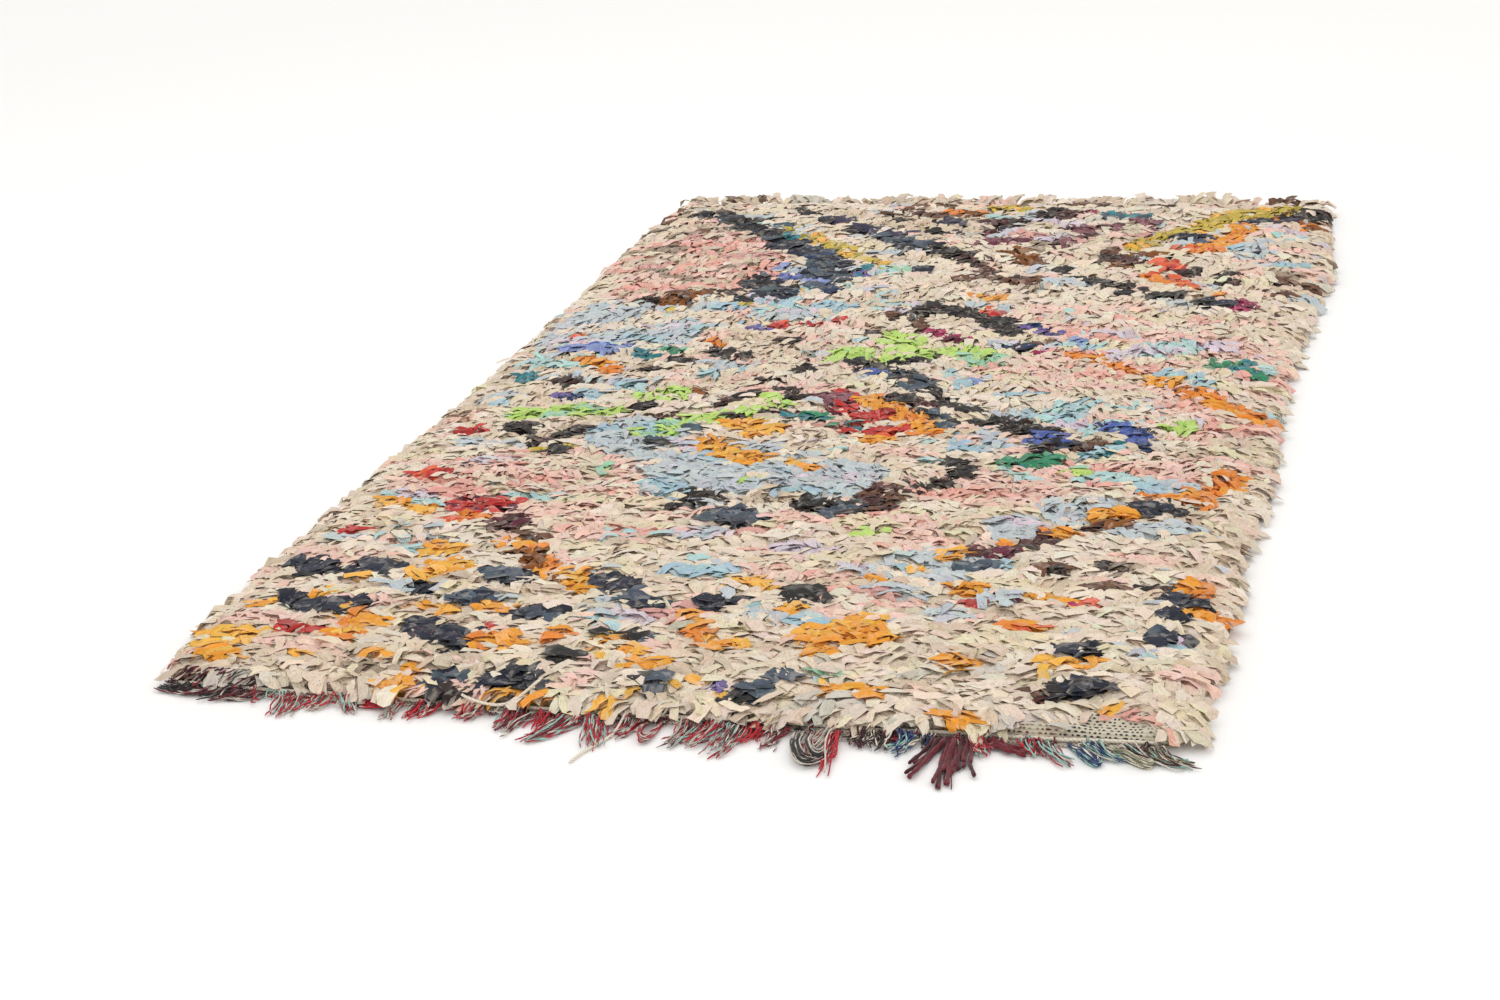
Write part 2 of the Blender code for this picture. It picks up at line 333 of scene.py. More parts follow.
DESIGN = (
    # The two dark and mustard bands that run in from the far left corner
    Band("navy slate navy charcoal", 0.050, ((-0.62, 1.15), (-0.55, 1.09), (-0.48, 1.03), (-0.43, 0.98))),
    Band("slate navy*2", 0.075, ((-0.43, 0.97), (-0.36, 0.90), (-0.30, 0.84))),
    Band("slate navy slate ink navy", 0.085, ((-0.30, 0.84), (-0.265, 0.77), (-0.25, 0.69))),
    Band("navy slate charcoal", 0.050, ((-0.39, 0.66), (-0.36, 0.62))),
    Band("slate navy", 0.045, ((-0.35, 0.57), (-0.30, 0.545))),
    Band("slate ink slate", 0.050, ((-0.25, 0.63), (-0.215, 0.58))),
    Spots("slate charcoal", 0.040, ((-0.38, 0.52), (-0.33, 0.59))),
    Spots("umber charcoal", 0.045, ((-0.67, 1.16), (-0.61, 1.16), (-0.46, 1.22))),
    Spots("charcoal slate", 0.030, ((-0.41, 1.17), (-0.50, 1.14), (-0.35, 1.16))),
    Band("mustard*2 amber", 0.034, ((-0.44, 1.07), (-0.42, 1.03))),
    Band("mustard amber mustard", 0.050, ((-0.37, 0.99), (-0.33, 0.94), (-0.27, 0.89), (-0.235, 0.84))),
    Band("mustard amber", 0.030, ((-0.20, 0.81), (-0.16, 0.78), (-0.14, 0.74))),
    Spots("sky aqua", 0.040, ((-0.455, 1.04), (-0.49, 1.08))),
    Spots("teal slate", 0.034, ((-0.41, 0.99), (-0.45, 1.08))),
    Spots("teal royal", 0.030, ((-0.185, 0.75), (-0.19, 0.69))),
    Spots("aqua mint", 0.040, ((-0.135, 0.725), (-0.11, 0.74))),
    Spots("violet plum", 0.024, ((-0.175, 0.70), (-0.19, 0.715))),
    Spots("periwinkle royal", 0.045, ((-0.27, 0.665), (-0.32, 0.69))),
    Spots("mist periwinkle", 0.060, ((-0.33, 0.74),)),
    Spots("butter amber", 0.026, ((-0.285, 0.585), (-0.31, 0.60))),
    Spots("navy slate", 0.034, ((-0.085, 0.73),)),
    # The chain of dark pieces beside them, which runs on to the middle
    Spots("aubergine charcoal", 0.055, ((-0.335, 1.12), (-0.265, 1.05))),
    Band("aubergine*2 slate", 0.060, ((-0.20, 1.02), (-0.17, 0.99), (-0.15, 0.96))),
    Spots("slate navy", 0.060, ((-0.105, 0.92),)),
    Band("charcoal umber", 0.048, ((-0.055, 0.88), (-0.02, 0.85))),
    Band("maroon umber", 0.045, ((0.01, 0.84), (0.04, 0.80))),
    Band("maroon brown", 0.030, ((0.06, 0.77), (0.085, 0.72))),
    Spots("brown maroon", 0.060, ((0.05, 0.69),)),
    Band("brown umber", 0.050, ((0.12, 0.675), (0.17, 0.665))),
    Spots("brown maroon umber", 0.045, ((-0.24, 1.18), (-0.13, 1.18), (-0.19, 1.12))),
    Spots("charcoal aubergine", 0.034, ((-0.075, 1.11), (-0.08, 1.03))),
    Spots("rust tangerine rust", 0.050, ((-0.07, 1.19), (-0.04, 1.18))),
    Spots("mustard*2 amber", 0.085, ((0.045, 1.23),)),
    Spots("aqua mint", 0.045, ((0.03, 1.15),)),
    Spots("umber charcoal maroon", 0.070, ((0.04, 1.10),)),
    Spots("maroon umber teal", 0.090, ((0.145, 1.18),)),
    Spots("magenta plum", 0.026, ((0.205, 1.20), (0.29, 1.08))),
    Spots("teal slate", 0.050, ((0.28, 1.17), (0.32, 1.17))),
    Spots("charcoal umber", 0.045, ((0.36, 1.245),)),
    Spots("mauve plum", 0.050, ((0.045, 0.965), (0.08, 0.96), (0.22, 1.04))),
    Spots("mauve maroon", 0.040, ((0.02, 1.03), (0.24, 0.99), (0.19, 1.06), (0.20, 0.95))),
    Spots("brown rust", 0.045, ((0.10, 0.87), (0.13, 0.84), (0.145, 0.81))),
    # The bands that run in from the far right corner
    Band("mustard*3 amber", 0.080, ((0.67, 1.235), (0.58, 1.20), (0.50, 1.14), (0.465, 1.06))),
    Band("mustard*2 beige", 0.055, ((0.43, 1.05), (0.40, 1.00), (0.41, 0.96))),
    Band("mustard amber mustard", 0.050, ((0.36, 0.97), (0.345, 0.91))),
    Spots("navy aubergine", 0.040, ((0.645, 1.14), (0.60, 1.12), (0.565, 1.10))),
    Spots("navy ink", 0.042, ((0.53, 1.035), (0.465, 0.985), (0.475, 0.95))),
    Spots("umber charcoal", 0.070, ((0.66, 1.185), (0.69, 1.21), (0.70, 1.235))),
    Spots("tangerine rust", 0.050, ((0.685, 1.12), (0.60, 1.15))),
    Band("tangerine orange*2", 0.068, ((0.565, 1.06), (0.54, 1.0), (0.525, 0.95), (0.50, 0.90))),
    Spots("coral tangerine", 0.045, ((0.48, 0.875), (0.46, 0.90))),
    Spots("lilac blush", 0.060, ((0.62, 1.06), (0.655, 1.07))),
    Spots("mist lilac", 0.045, ((0.585, 0.95), (0.595, 0.88))),
    Spots("maroon umber", 0.040, ((0.415, 0.855), (0.30, 0.83))),
    Spots("red*2 coral", 0.050, ((0.43, 0.805), (0.455, 0.76))),
    Spots("rust brown", 0.055, ((0.33, 0.80), (0.38, 0.86))),
    Spots("brown maroon", 0.045, ((0.35, 0.83), (0.31, 0.88))),
    Band("tangerine coral", 0.036, ((0.39, 0.72), (0.44, 0.69), (0.49, 0.64))),
    Band("charcoal umber", 0.028, ((0.22, 0.77), (0.25, 0.71))),
    Band("charcoal umber", 0.030, ((0.275, 0.685), (0.31, 0.66))),
    Spots("charcoal umber", 0.050, ((0.35, 0.64), (0.375, 0.62))),
    Spots("charcoal", 0.045, ((0.445, 0.57),)),
    Spots("maroon umber", 0.050, ((0.545, 0.725), (0.56, 0.67), (0.48, 0.745))),
    Spots("navy charcoal", 0.034, ((0.55, 0.53), (0.525, 0.545))),
    Spots("magenta*2 plum", 0.042, ((0.60, 0.50), (0.595, 0.525))),
    Spots("brown maroon", 0.032, ((0.655, 0.485), (0.64, 0.63), (0.66, 0.70))),
    Spots("tangerine amber", 0.026, ((0.545, 0.59), (0.08, 0.56))),
    Spots("amber butter orange", 0.045, ((0.115, 0.555),)),
    # The left middle
    Spots("rust*2 brown", 0.070, ((-0.505, 0.535), (-0.52, 0.50))),
    Spots("maroon umber", 0.036, ((-0.57, 0.50), (-0.445, 0.56), (-0.42, 0.58))),
    Spots("sky teal", 0.040, ((-0.435, 0.475),)),
    Spots("mustard oat", 0.032, ((-0.51, 0.44), (-0.36, 0.47))),
    Spots("coral tangerine", 0.032, ((-0.645, 0.275), (-0.36, 0.24))),
    Spots("red coral", 0.034, ((-0.17, 0.385), (-0.27, 0.36), (-0.21, 0.35))),
    Spots("violet royal", 0.034, ((-0.30, 0.335),)),
    Band("royal periwinkle", 0.045, ((-0.63, 0.19), (-0.57, 0.19), (-0.53, 0.20))),
    Band("green teal", 0.034, ((-0.49, 0.17), (-0.47, 0.14))),
    Spots("green*2 mint", 0.045, ((-0.43, 0.19),)),
    Band("orange tangerine", 0.042, ((-0.585, 0.12), (-0.54, 0.10), (-0.515, 0.07))),
    Spots("charcoal umber", 0.050, ((-0.345, 0.20), (-0.31, 0.17))),
    Spots("charcoal umber", 0.036, ((-0.225, 0.27), (-0.44, 0.085), (-0.39, 0.13), (-0.20, 0.035))),
    Spots("charcoal umber", 0.044, ((-0.15, 0.085),)),
    Spots("green teal", 0.045, ((-0.665, 0.03),)),
    Spots("maroon umber", 0.060, ((-0.57, 0.00),)),
    Spots("sky*2 aqua", 0.050, ((-0.45, -0.02), (-0.51, -0.07))),
    Spots("sky aqua", 0.030, ((-0.335, 0.07), (-0.18, 0.20), (-0.08, 0.27), (-0.27, 0.09))),
    # The outer lozenge's upper point
    Band("plum umber charcoal", 0.060, ((0.00, 0.47), (0.05, 0.455), (0.11, 0.44))),
    Spots("red coral", 0.045, ((0.135, 0.465),)),
    Band("charcoal umber", 0.060, ((0.14, 0.42), (0.17, 0.38), (0.18, 0.335))),
    Spots("ink violet", 0.038, ((0.225, 0.365), (0.26, 0.335))),
    Band("plum magenta", 0.026, ((0.035, 0.325), (0.07, 0.30), (0.105, 0.265))),
    Band("brown umber", 0.026, ((-0.05, 0.45), (-0.05, 0.41))),
    Band("brown umber", 0.030, ((-0.005, 0.42), (0.01, 0.345))),
    Spots("charcoal", 0.024, ((-0.065, 0.315), (0.06, 0.19))),
    Band("lime*3 butter", 0.092, ((-0.02, 0.285), (0.01, 0.23), (0.02, 0.17))),
    Spots("lime*3 mint", 0.078, ((0.13, 0.215), (0.165, 0.18), (-0.09, 0.18))),
    Spots("butter lime", 0.050, ((0.06, 0.245),)),
    Spots("navy ink", 0.042, ((0.225, 0.245),)),
    Spots("magenta", 0.038, ((0.265, 0.22),)),
    Spots("maroon brown", 0.028, ((0.29, 0.285), (0.24, 0.275))),
    Band("sky periwinkle", 0.026, ((0.31, 0.30), (0.345, 0.25))),
    Band("orange tangerine", 0.038, ((0.32, 0.20), (0.365, 0.205))),
    Band("orange tangerine", 0.030, ((0.40, 0.15), (0.44, 0.13))),
    Band("orange amber", 0.036, ((0.48, 0.09), (0.52, 0.065))),
    Band("orange*2 tangerine", 0.042, ((0.545, 0.015), (0.59, 0.00))),
    Band("orange tangerine", 0.045, ((0.60, -0.045), (0.645, -0.06), (0.685, -0.09))),
    Band("sky aqua", 0.026, ((0.50, 0.12), (0.56, 0.085))),
    Spots("sky aqua", 0.045, ((0.575, 0.055),)),
    Spots("mint green", 0.048, ((0.575, 0.175),)),
    Band("green*2 teal", 0.050, ((0.62, 0.18), (0.66, 0.14))),
    # The inner lozenge's two upper sides
    Spots("charcoal umber", 0.045, ((-0.065, 0.14), (-0.03, 0.125), (0.035, 0.135))),
    Spots("slate royal", 0.040, ((-0.02, 0.09),)),
    Band("charcoal umber slate", 0.048, ((0.02, 0.085), (0.055, 0.05), (0.085, 0.02))),
    Band("charcoal umber", 0.030, ((0.10, 0.00), (0.125, -0.03))),
    Band("sky aqua", 0.034, ((0.12, 0.10), (0.15, 0.04))),
    Spots("periwinkle royal", 0.022, ((0.17, 0.06),)),
    Spots("maroon umber", 0.038, ((-0.16, -0.01), (-0.25, -0.095), (-0.34, -0.17))),
    Spots("charcoal umber", 0.040, ((-0.20, -0.05), (-0.39, -0.12), (-0.14, -0.05))),
    Spots("rust brown", 0.028, ((-0.31, -0.04), (-0.44, -0.155))),
    Spots("lime*2 butter", 0.088, ((-0.38, -0.055), (-0.17, -0.085))),
    Band("lime*2 mint", 0.074, ((-0.59, -0.185), (-0.50, -0.155))),
    Spots("lime butter", 0.042, ((-0.44, -0.14),)),
    Spots("lime", 0.075, ((-0.19, -0.14), (-0.25, -0.175))),
    Band("lime*2 mint", 0.075, ((-0.34, -0.25), (-0.30, -0.22))),
    Spots("maroon umber", 0.036, ((-0.21, -0.165), (-0.155, -0.14))),
    Spots("red plum", 0.026, ((-0.12, -0.14),)),
    Spots("charcoal slate", 0.034, ((-0.26, -0.235), (-0.305, -0.295))),
    Spots("charcoal umber", 0.046, ((-0.575, -0.25), (-0.465, -0.265))),
    Spots("umber maroon", 0.055, ((-0.505, -0.305),)),
    Spots("charcoal mustard", 0.030, ((-0.46, -0.345), (-0.50, -0.345))),
    Spots("violet ink", 0.036, ((-0.55, -0.085),)),
    Spots("sky", 0.036, ((-0.65, -0.13), (-0.35, -0.23))),
    Band("charcoal umber", 0.036, ((0.13, -0.05), (0.16, -0.08), (0.205, -0.115))),
    Band("charcoal navy umber", 0.050, ((0.225, -0.155), (0.28, -0.17), (0.335, -0.20))),
    Band("ink royal navy", 0.050, ((0.335, -0.23), (0.385, -0.245))),
    Spots("maroon brown", 0.045, ((0.425, -0.25),)),
    Band("royal*2 ink", 0.046, ((0.44, -0.165), (0.485, -0.20), (0.505, -0.25))),
    Band("sky*2 aqua", 0.045, ((0.29, -0.10), (0.37, -0.13))),
    Band("sky mist", 0.040, ((0.235, -0.21), (0.27, -0.27))),
    Band("sky teal", 0.040, ((0.46, -0.26), (0.425, -0.30))),
    Spots("lime", 0.060, ((0.555, -0.16),)),
    Spots("charcoal umber slate", 0.045, ((0.35, -0.28),)),
    Band("green teal green", 0.048, ((0.305, -0.335), (0.365, -0.325))),
    # The heart of the inner lozenge
    Band("plum red mauve plum", 0.070, ((-0.065, -0.04), (-0.03, -0.07), (-0.035, -0.105))),
    Spots("green teal", 0.052, ((-0.07, -0.17), (-0.02, -0.19))),
    Band(
        "orange tangerine orange", 0.054, ((0.001, -0.055), (0.048, -0.097), (0.109, -0.162), (0.140, -0.215))
    ),
    Band("orange amber", 0.030, ((0.03, -0.250), (0.09, -0.262))),
    Spots("red", 0.066, ((0.028, -0.142),)),
    Spots("red*2 coral", 0.062, ((0.075, -0.208),)),
    Spots("red dusty", 0.040, ((-0.028, -0.190), (0.005, -0.215))),
    Spots("charcoal maroon", 0.048, ((0.052, -0.050), (0.095, -0.080))),
    Spots("charcoal slate", 0.032, ((0.127, -0.128), (0.165, -0.187))),
    Spots("butter beige butter", 0.055, ((0.187, -0.131),)),
    Spots("orange*2 amber", 0.065, ((-0.185, -0.205), (-0.145, -0.235))),
    Spots("orange amber", 0.055, ((-0.215, -0.295),)),
    Band("orange*2 amber", 0.062, ((-0.175, -0.33), (-0.13, -0.35))),
    Band("orange tangerine amber", 0.042, ((-0.06, -0.36), (-0.02, -0.385))),
    # The inner lozenge's two lower sides
    Band("charcoal umber", 0.038, ((0.22, -0.36), (0.24, -0.395))),
    Band("umber maroon", 0.036, ((0.22, -0.43), (0.175, -0.455))),
    Spots("maroon*2 brown", 0.060, ((0.125, -0.495), (0.13, -0.53))),
    Band("charcoal slate umber", 0.048, ((0.02, -0.545), (0.055, -0.56), (0.09, -0.555))),
    Spots("slate navy", 0.062, ((-0.09, -0.59), (-0.075, -0.62))),
    Spots("umber charcoal", 0.048, ((-0.15, -0.53), (-0.18, -0.56))),
    # The outer line on the lower right, orange over brown
    Band("orange*2 tangerine", 0.055, ((0.66, -0.375), (0.645, -0.40))),
    Band("orange tangerine", 0.052, ((0.63, -0.44), (0.60, -0.465))),
    Spots("tangerine rust", 0.030, ((0.545, -0.465), (0.625, -0.485))),
    Spots("charcoal navy charcoal", 0.062, ((0.565, -0.515),)),
    Spots("orange*2 amber", 0.068, ((0.49, -0.545),)),
    Spots("brown rust maroon", 0.058, ((0.49, -0.59),)),
    Spots("orange tangerine", 0.048, ((0.425, -0.615),)),
    Spots("maroon umber", 0.040, ((0.415, -0.65), (0.38, -0.665))),
    Spots("orange tangerine", 0.036, ((0.355, -0.67),)),
    Spots("maroon plum", 0.040, ((0.345, -0.705), (0.31, -0.705))),
    Spots("orange", 0.045, ((0.28, -0.72),)),
    Spots("amber orange", 0.030, ((0.24, -0.765), (0.18, -0.81))),
    # The outer line on the lower left
    Spots("red*2 coral", 0.045, ((-0.66, -0.27), (-0.655, -0.47), (-0.685, -0.72))),
    Band("red*2 plum", 0.056, ((-0.55, -0.595), (-0.505, -0.605), (-0.47, -0.595))),
    Spots("tangerine coral", 0.058, ((-0.515, -0.655),)),
    Spots("orange amber", 0.050, ((-0.60, -0.615), (-0.66, -0.60))),
    Spots("maroon plum brown", 0.058, ((-0.43, -0.68),)),
    Spots("brown umber", 0.042, ((-0.38, -0.725),)),
    Band("tangerine orange rust", 0.042, ((-0.40, -0.74), (-0.36, -0.77), (-0.325, -0.81), (-0.31, -0.84))),
    Spots("orange amber", 0.052, ((-0.26, -0.85), (-0.22, -0.88))),
    Spots("orange amber", 0.052, ((-0.505, -0.765),)),
    Band("orange amber orange", 0.062, ((-0.46, -0.83), (-0.49, -0.88))),
    # The near end: dark pieces and loose orange spots
    Spots("navy", 0.050, ((-0.69, -0.84), (-0.657, -0.865), (-0.475, -0.92))),
    Spots("navy", 0.070, ((-0.58, -0.855),)),
    Band("navy*2 slate", 0.044, ((-0.38, -0.86), (-0.335, -0.875))),
    Spots("navy", 0.056, ((-0.19, -0.87), (-0.02, -0.91))),
    Band("navy slate", 0.030, ((-0.16, -0.91), (-0.115, -0.93))),
    Spots("navy slate", 0.042, ((-0.385, -0.945),)),
    Band("navy", 0.036, ((-0.67, -0.97), (-0.62, -0.99), (-0.55, -0.985))),
    Band("navy slate navy", 0.030, ((-0.28, -0.985), (-0.235, -0.98))),
    Spots("charcoal umber", 0.042, ((0.10, -0.885), (0.085, -0.86))),
    Band("navy", 0.062, ((-0.425, -1.045), (-0.385, -1.07), (-0.350, -1.08))),
    Spots("charcoal slate", 0.036, ((-0.155, -1.035), (-0.09, -1.05), (-0.185, -1.115), (-0.04, -1.17))),
    Band("navy slate navy", 0.046, ((-0.260, -1.175), (-0.205, -1.185))),
    Spots("slate navy", 0.044, ((-0.33, -1.18),)),
    Spots("navy umber", 0.050, ((-0.31, -1.225), (-0.30, -1.25))),
    Band("charcoal slate", 0.036, ((0.135, -1.145), (0.115, -1.175), (0.09, -1.185))),
    Spots("violet plum", 0.026, ((0.06, -1.165), (0.42, -0.86))),
    Spots("navy", 0.052, ((0.52, -1.01),)),
    Spots("navy charcoal", 0.056, ((0.527, -1.123),)),
    Spots("brown maroon", 0.034, ((0.480, -1.142),)),
    Band("navy ink", 0.045, ((0.63, -0.84), (0.635, -0.885))),
    Spots("slate navy", 0.034, ((0.62, -0.955), (0.23, -1.01), (0.33, -0.76))),
    Spots("umber taupe", 0.050, ((0.53, -0.735),)),
    Spots("brown umber", 0.038, ((0.585, -0.80), (0.52, -0.80), (0.44, -0.75))),
    Spots("red", 0.042, ((-0.62, -1.07),)),
    Spots("red", 0.036, ((0.340, -0.885),)),
    Spots("magenta coral", 0.034, ((0.499, -0.862),)),
    Spots("red coral", 0.026, ((-0.57, -1.07), (-0.31, -1.03))),
    Band("orange amber tangerine", 0.048, ((-0.55, -1.02), (-0.50, -1.045), (-0.53, -1.085))),
    Band("orange amber", 0.036, ((-0.36, -0.96), (-0.31, -0.975))),
    Band("orange tangerine orange", 0.044, ((-0.32, -1.085), (-0.27, -1.075))),
    Spots("tangerine orange", 0.036, ((-0.215, -1.045),)),
    Spots("orange amber", 0.048, ((-0.72, -1.125), (-0.39, -1.205), (-0.68, -1.155))),
    Band("amber orange amber", 0.040, ((-0.76, -1.080), (-0.71, -1.085), (-0.665, -1.095))),
    Spots("orange amber orange", 0.060, ((-0.22, -1.235), (-0.18, -1.24))),
    Spots("orange amber", 0.052, ((-0.06, -1.115), (0.03, -1.045), (0.02, -0.85))),
    Band("orange tangerine", 0.048, ((-0.04, -0.96), (-0.015, -1.01))),
    Band("orange amber orange", 0.070, ((0.155, -1.01), (0.205, -0.99), (0.235, -1.01))),
    Spots("orange amber", 0.060, ((0.17, -1.05), (0.205, -0.955))),
    Spots("orange amber", 0.036, ((0.09, -0.93), (0.285, -0.71), (-0.13, -1.05))),
    Spots("orange*2 amber", 0.055, ((0.33, -0.84), (0.45, -0.86))),
    Spots("tangerine coral orange", 0.055, ((0.43, -0.95),)),
    Spots("orange amber", 0.042, ((0.36, -1.065), (0.48, -1.06), (0.52, -1.05))),
    Spots("orange tangerine", 0.052, ((0.64, -0.79), (0.66, -0.87))),
    Spots("orange amber", 0.040, ((0.21, -1.15), (0.26, -1.155), (0.384, -1.204), (0.576, -1.176))),
    Spots("blush salmon", 0.050, ((0.605, -1.184), (0.664, -1.228))),
    Spots("amber butter", 0.036, ((-0.13, -1.09), (-0.08, -1.21), (0.05, -1.21))),
    Spots("mint aqua", 0.034, ((0.18, -1.13), (-0.16, -0.99))),
    Spots("amber orange", 0.030, ((-0.70, -0.987), (-0.585, -0.884), (-0.576, -1.147), (-0.444, -1.136))),
    Spots("amber orange", 0.032, ((-0.386, -1.165), (-0.282, -1.10), (-0.099, -1.235), (-0.091, -1.079))),
    Spots("amber butter", 0.028, ((-0.029, -1.141), (0.004, -1.161), (-0.050, -1.189), (-0.64, -0.93))),
    Spots("orange amber", 0.034, ((-0.41, -0.985), (-0.45, -0.97), (-0.62, -0.95))),
    Spots("lime butter", 0.045, ((-0.17, -0.735), (0.14, -0.645), (0.19, -0.56), (-0.09, -0.445))),
    Spots("lime mint", 0.030, ((-0.36, -0.42), (0.42, -0.37))),
)


@dataclass(frozen=True)
class Viewpoint:
    """The photograph's viewpoint, fitted to the rug's four corners."""

    place: tuple[float, float, float] = (0.9543, -3.8973, 1.3884)
    yaw: float = math.radians(-16.971)
    pitch: float = math.radians(21.311)
    roll: float = math.radians(-4.209)
    lens: float = 57.70
    sensor: float = 36.0

    def axes(self) -> tuple[Vector, Vector, Vector]:
        """The way the camera looks.

        Returns:
            Its right, up and forward directions.
        """
        forward = Vector(
            (
                math.sin(self.yaw) * math.cos(self.pitch),
                math.cos(self.yaw) * math.cos(self.pitch),
                -math.sin(self.pitch),
            )
        )
        level = Vector((math.cos(self.yaw), -math.sin(self.yaw), 0.0))
        upright = level.cross(forward)
        right = math.cos(self.roll) * level + math.sin(self.roll) * upright
        up = math.cos(self.roll) * upright - math.sin(self.roll) * level
        return right, up, forward

    def floor_behind(self, x: np.ndarray, y: np.ndarray, tip: float) -> tuple[np.ndarray, np.ndarray]:
        """Where the line of sight through a raised point meets the floor, which is how the design is charted.

        Args:
            x: Places of the points across the rug.
            y: Places of the points along the rug.
            tip: How high the points stand.

        Returns:
            The places on the floor.
        """
        stretch = self.place[2] / (self.place[2] - tip)
        return (
            self.place[0] + (x - self.place[0]) * stretch,
            self.place[1] + (y - self.place[1]) * stretch,
        )


def smooth(share: np.ndarray) -> np.ndarray:
    """Returns an S-shaped ramp from 0 to 1. Shares outside that are held at its ends."""
    share = np.clip(share, 0.0, 1.0)
    return share * share * (3.0 - 2.0 * share)


def by_edge(away: np.ndarray, wide: float) -> np.ndarray:
    """Returns 1 at an edge, falling to 0 at a distance from it."""
    return smooth(1.0 - away / wide)


def shade_colours() -> np.ndarray:
    """Returns the colours of all shades in their order, as linear light."""
    return np.array([tone.linear() for tone in SHADES.values()])


def listed(table: Iterable, name: str) -> np.ndarray:
    """Returns one column of a table as an array."""
    return np.array([getattr(row, name) for row in table])


def cells(x: np.ndarray, y: np.ndarray, size: tuple[float, float], seed: int) -> np.ndarray:
    """Cuts the rug into irregular patches, each with one number.

    Args:
        x: Places across the rug.
        y: Places along the rug.
        size: The patches' usual width and depth.
        seed: Which set of patches.

    Returns:
        A number from 0 to 1 for each place, the same all over a patch.
    """
    table = np.random.default_rng(seed).random((128, 128, 3))
    column, row = np.floor(x / size[0]), np.floor(y / size[1])
    nearest = np.full(x.shape, np.inf)
    draw = np.zeros(x.shape)
    for right in (-1, 0, 1):
        for up in (-1, 0, 1):
            cell = table[(column + right).astype(int) % 128, (row + up).astype(int) % 128]
            away = (column + right + cell[..., 0] - x / size[0]) ** 2
            away = away + (row + up + cell[..., 1] - y / size[1]) ** 2
            draw = np.where(away < nearest, cell[..., 2], draw)
            nearest = np.minimum(away, nearest)
    return draw


def linear(colour: str) -> np.ndarray:
    """Turns six hexadecimal sRGB digits into linear red, green and blue, 0 to 1."""
    parts = np.array([int(colour[i : i + 2], 16) / 255 for i in (0, 2, 4)])
    return np.where(parts <= 0.04045, parts / 12.92, ((parts + 0.055) / 1.055) ** 2.4)


def joined_mesh(name: str, points: np.ndarray, faces: list[np.ndarray]) -> bpy.types.Object:
    """Makes one object of many small things from arrays.

    Args:
        name: The object's name.
        points: The places of all points, one row each.
        faces: Arrays of point numbers, each array holding faces with the same number of sides.

    Returns:
        The new object, linked to the scene.
    """
    mesh = bpy.data.meshes.new(name)
    mesh.vertices.add(len(points))
    mesh.vertices.foreach_set("co", np.ascontiguousarray(points, np.float32).ravel())
    corners = np.concatenate([group.ravel() for group in faces]).astype(np.int32)
    sizes = np.concatenate([np.full(len(group), group.shape[1]) for group in faces])
    starts = np.concatenate([[0], np.cumsum(sizes)[:-1]]).astype(np.int32)
    mesh.loops.add(len(corners))
    mesh.loops.foreach_set("vertex_index", corners)
    mesh.polygons.add(len(sizes))
    mesh.polygons.foreach_set("loop_start", starts)
    mesh.update(calc_edges=True)
    obj = bpy.data.objects.new(name, mesh)
    bpy.context.scene.collection.objects.link(obj)
    return obj


def squares(grid: np.ndarray) -> np.ndarray:
    """Returns the four-sided faces of a sheet, from its grid of point numbers."""
    faces = np.stack([grid[:-1, :-1], grid[:-1, 1:], grid[1:, 1:], grid[1:, :-1]], axis=2)
    return faces.reshape(-1, 4)


def border(grid: np.ndarray) -> np.ndarray:
    """Returns the point numbers all round a sheet, from its grid of point numbers."""
    return np.concatenate([grid[0], grid[1:, -1], grid[-1, -2::-1], grid[-2:0:-1, 0]])


def give(mesh: bpy.types.Mesh, name: str, kind: str, values: np.ndarray, domain: str = "POINT") -> None:
    """Writes an attribute that the materials read.

    Args:
        mesh: The mesh that gets it.
        name: The attribute's name.
        kind: Blender's data type, such as FLOAT_COLOR.
        values: One row for each point or corner.
        domain: POINT or CORNER.
    """
    attribute = mesh.attributes.new(name, kind, domain)
    slot = {"FLOAT_COLOR": "color", "FLOAT_VECTOR": "vector", "FLOAT": "value"}[kind]
    attribute.data.foreach_set(slot, np.ascontiguousarray(values, np.float32).ravel())


def finish_piece(
    obj: bpy.types.Object, material: bpy.types.Material, slot: str, *nodes: str
) -> bpy.types.Object:
    """Dresses a piece and hangs it on the rug's body.

    Args:
        obj: The piece.
        material: Its finish.
        slot: The record's material slot that it stands for. Not used.
        nodes: The solids that it stands for.

    Returns:
        The same piece.
    """
    obj.data.materials.clear()
    obj.data.materials.append(material)
    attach(obj, BODY)
    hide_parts(*nodes)
    LOG.info("%s: %d triangles", obj.name, len(obj.data.loops) - 2 * len(obj.data.polygons))
    return obj


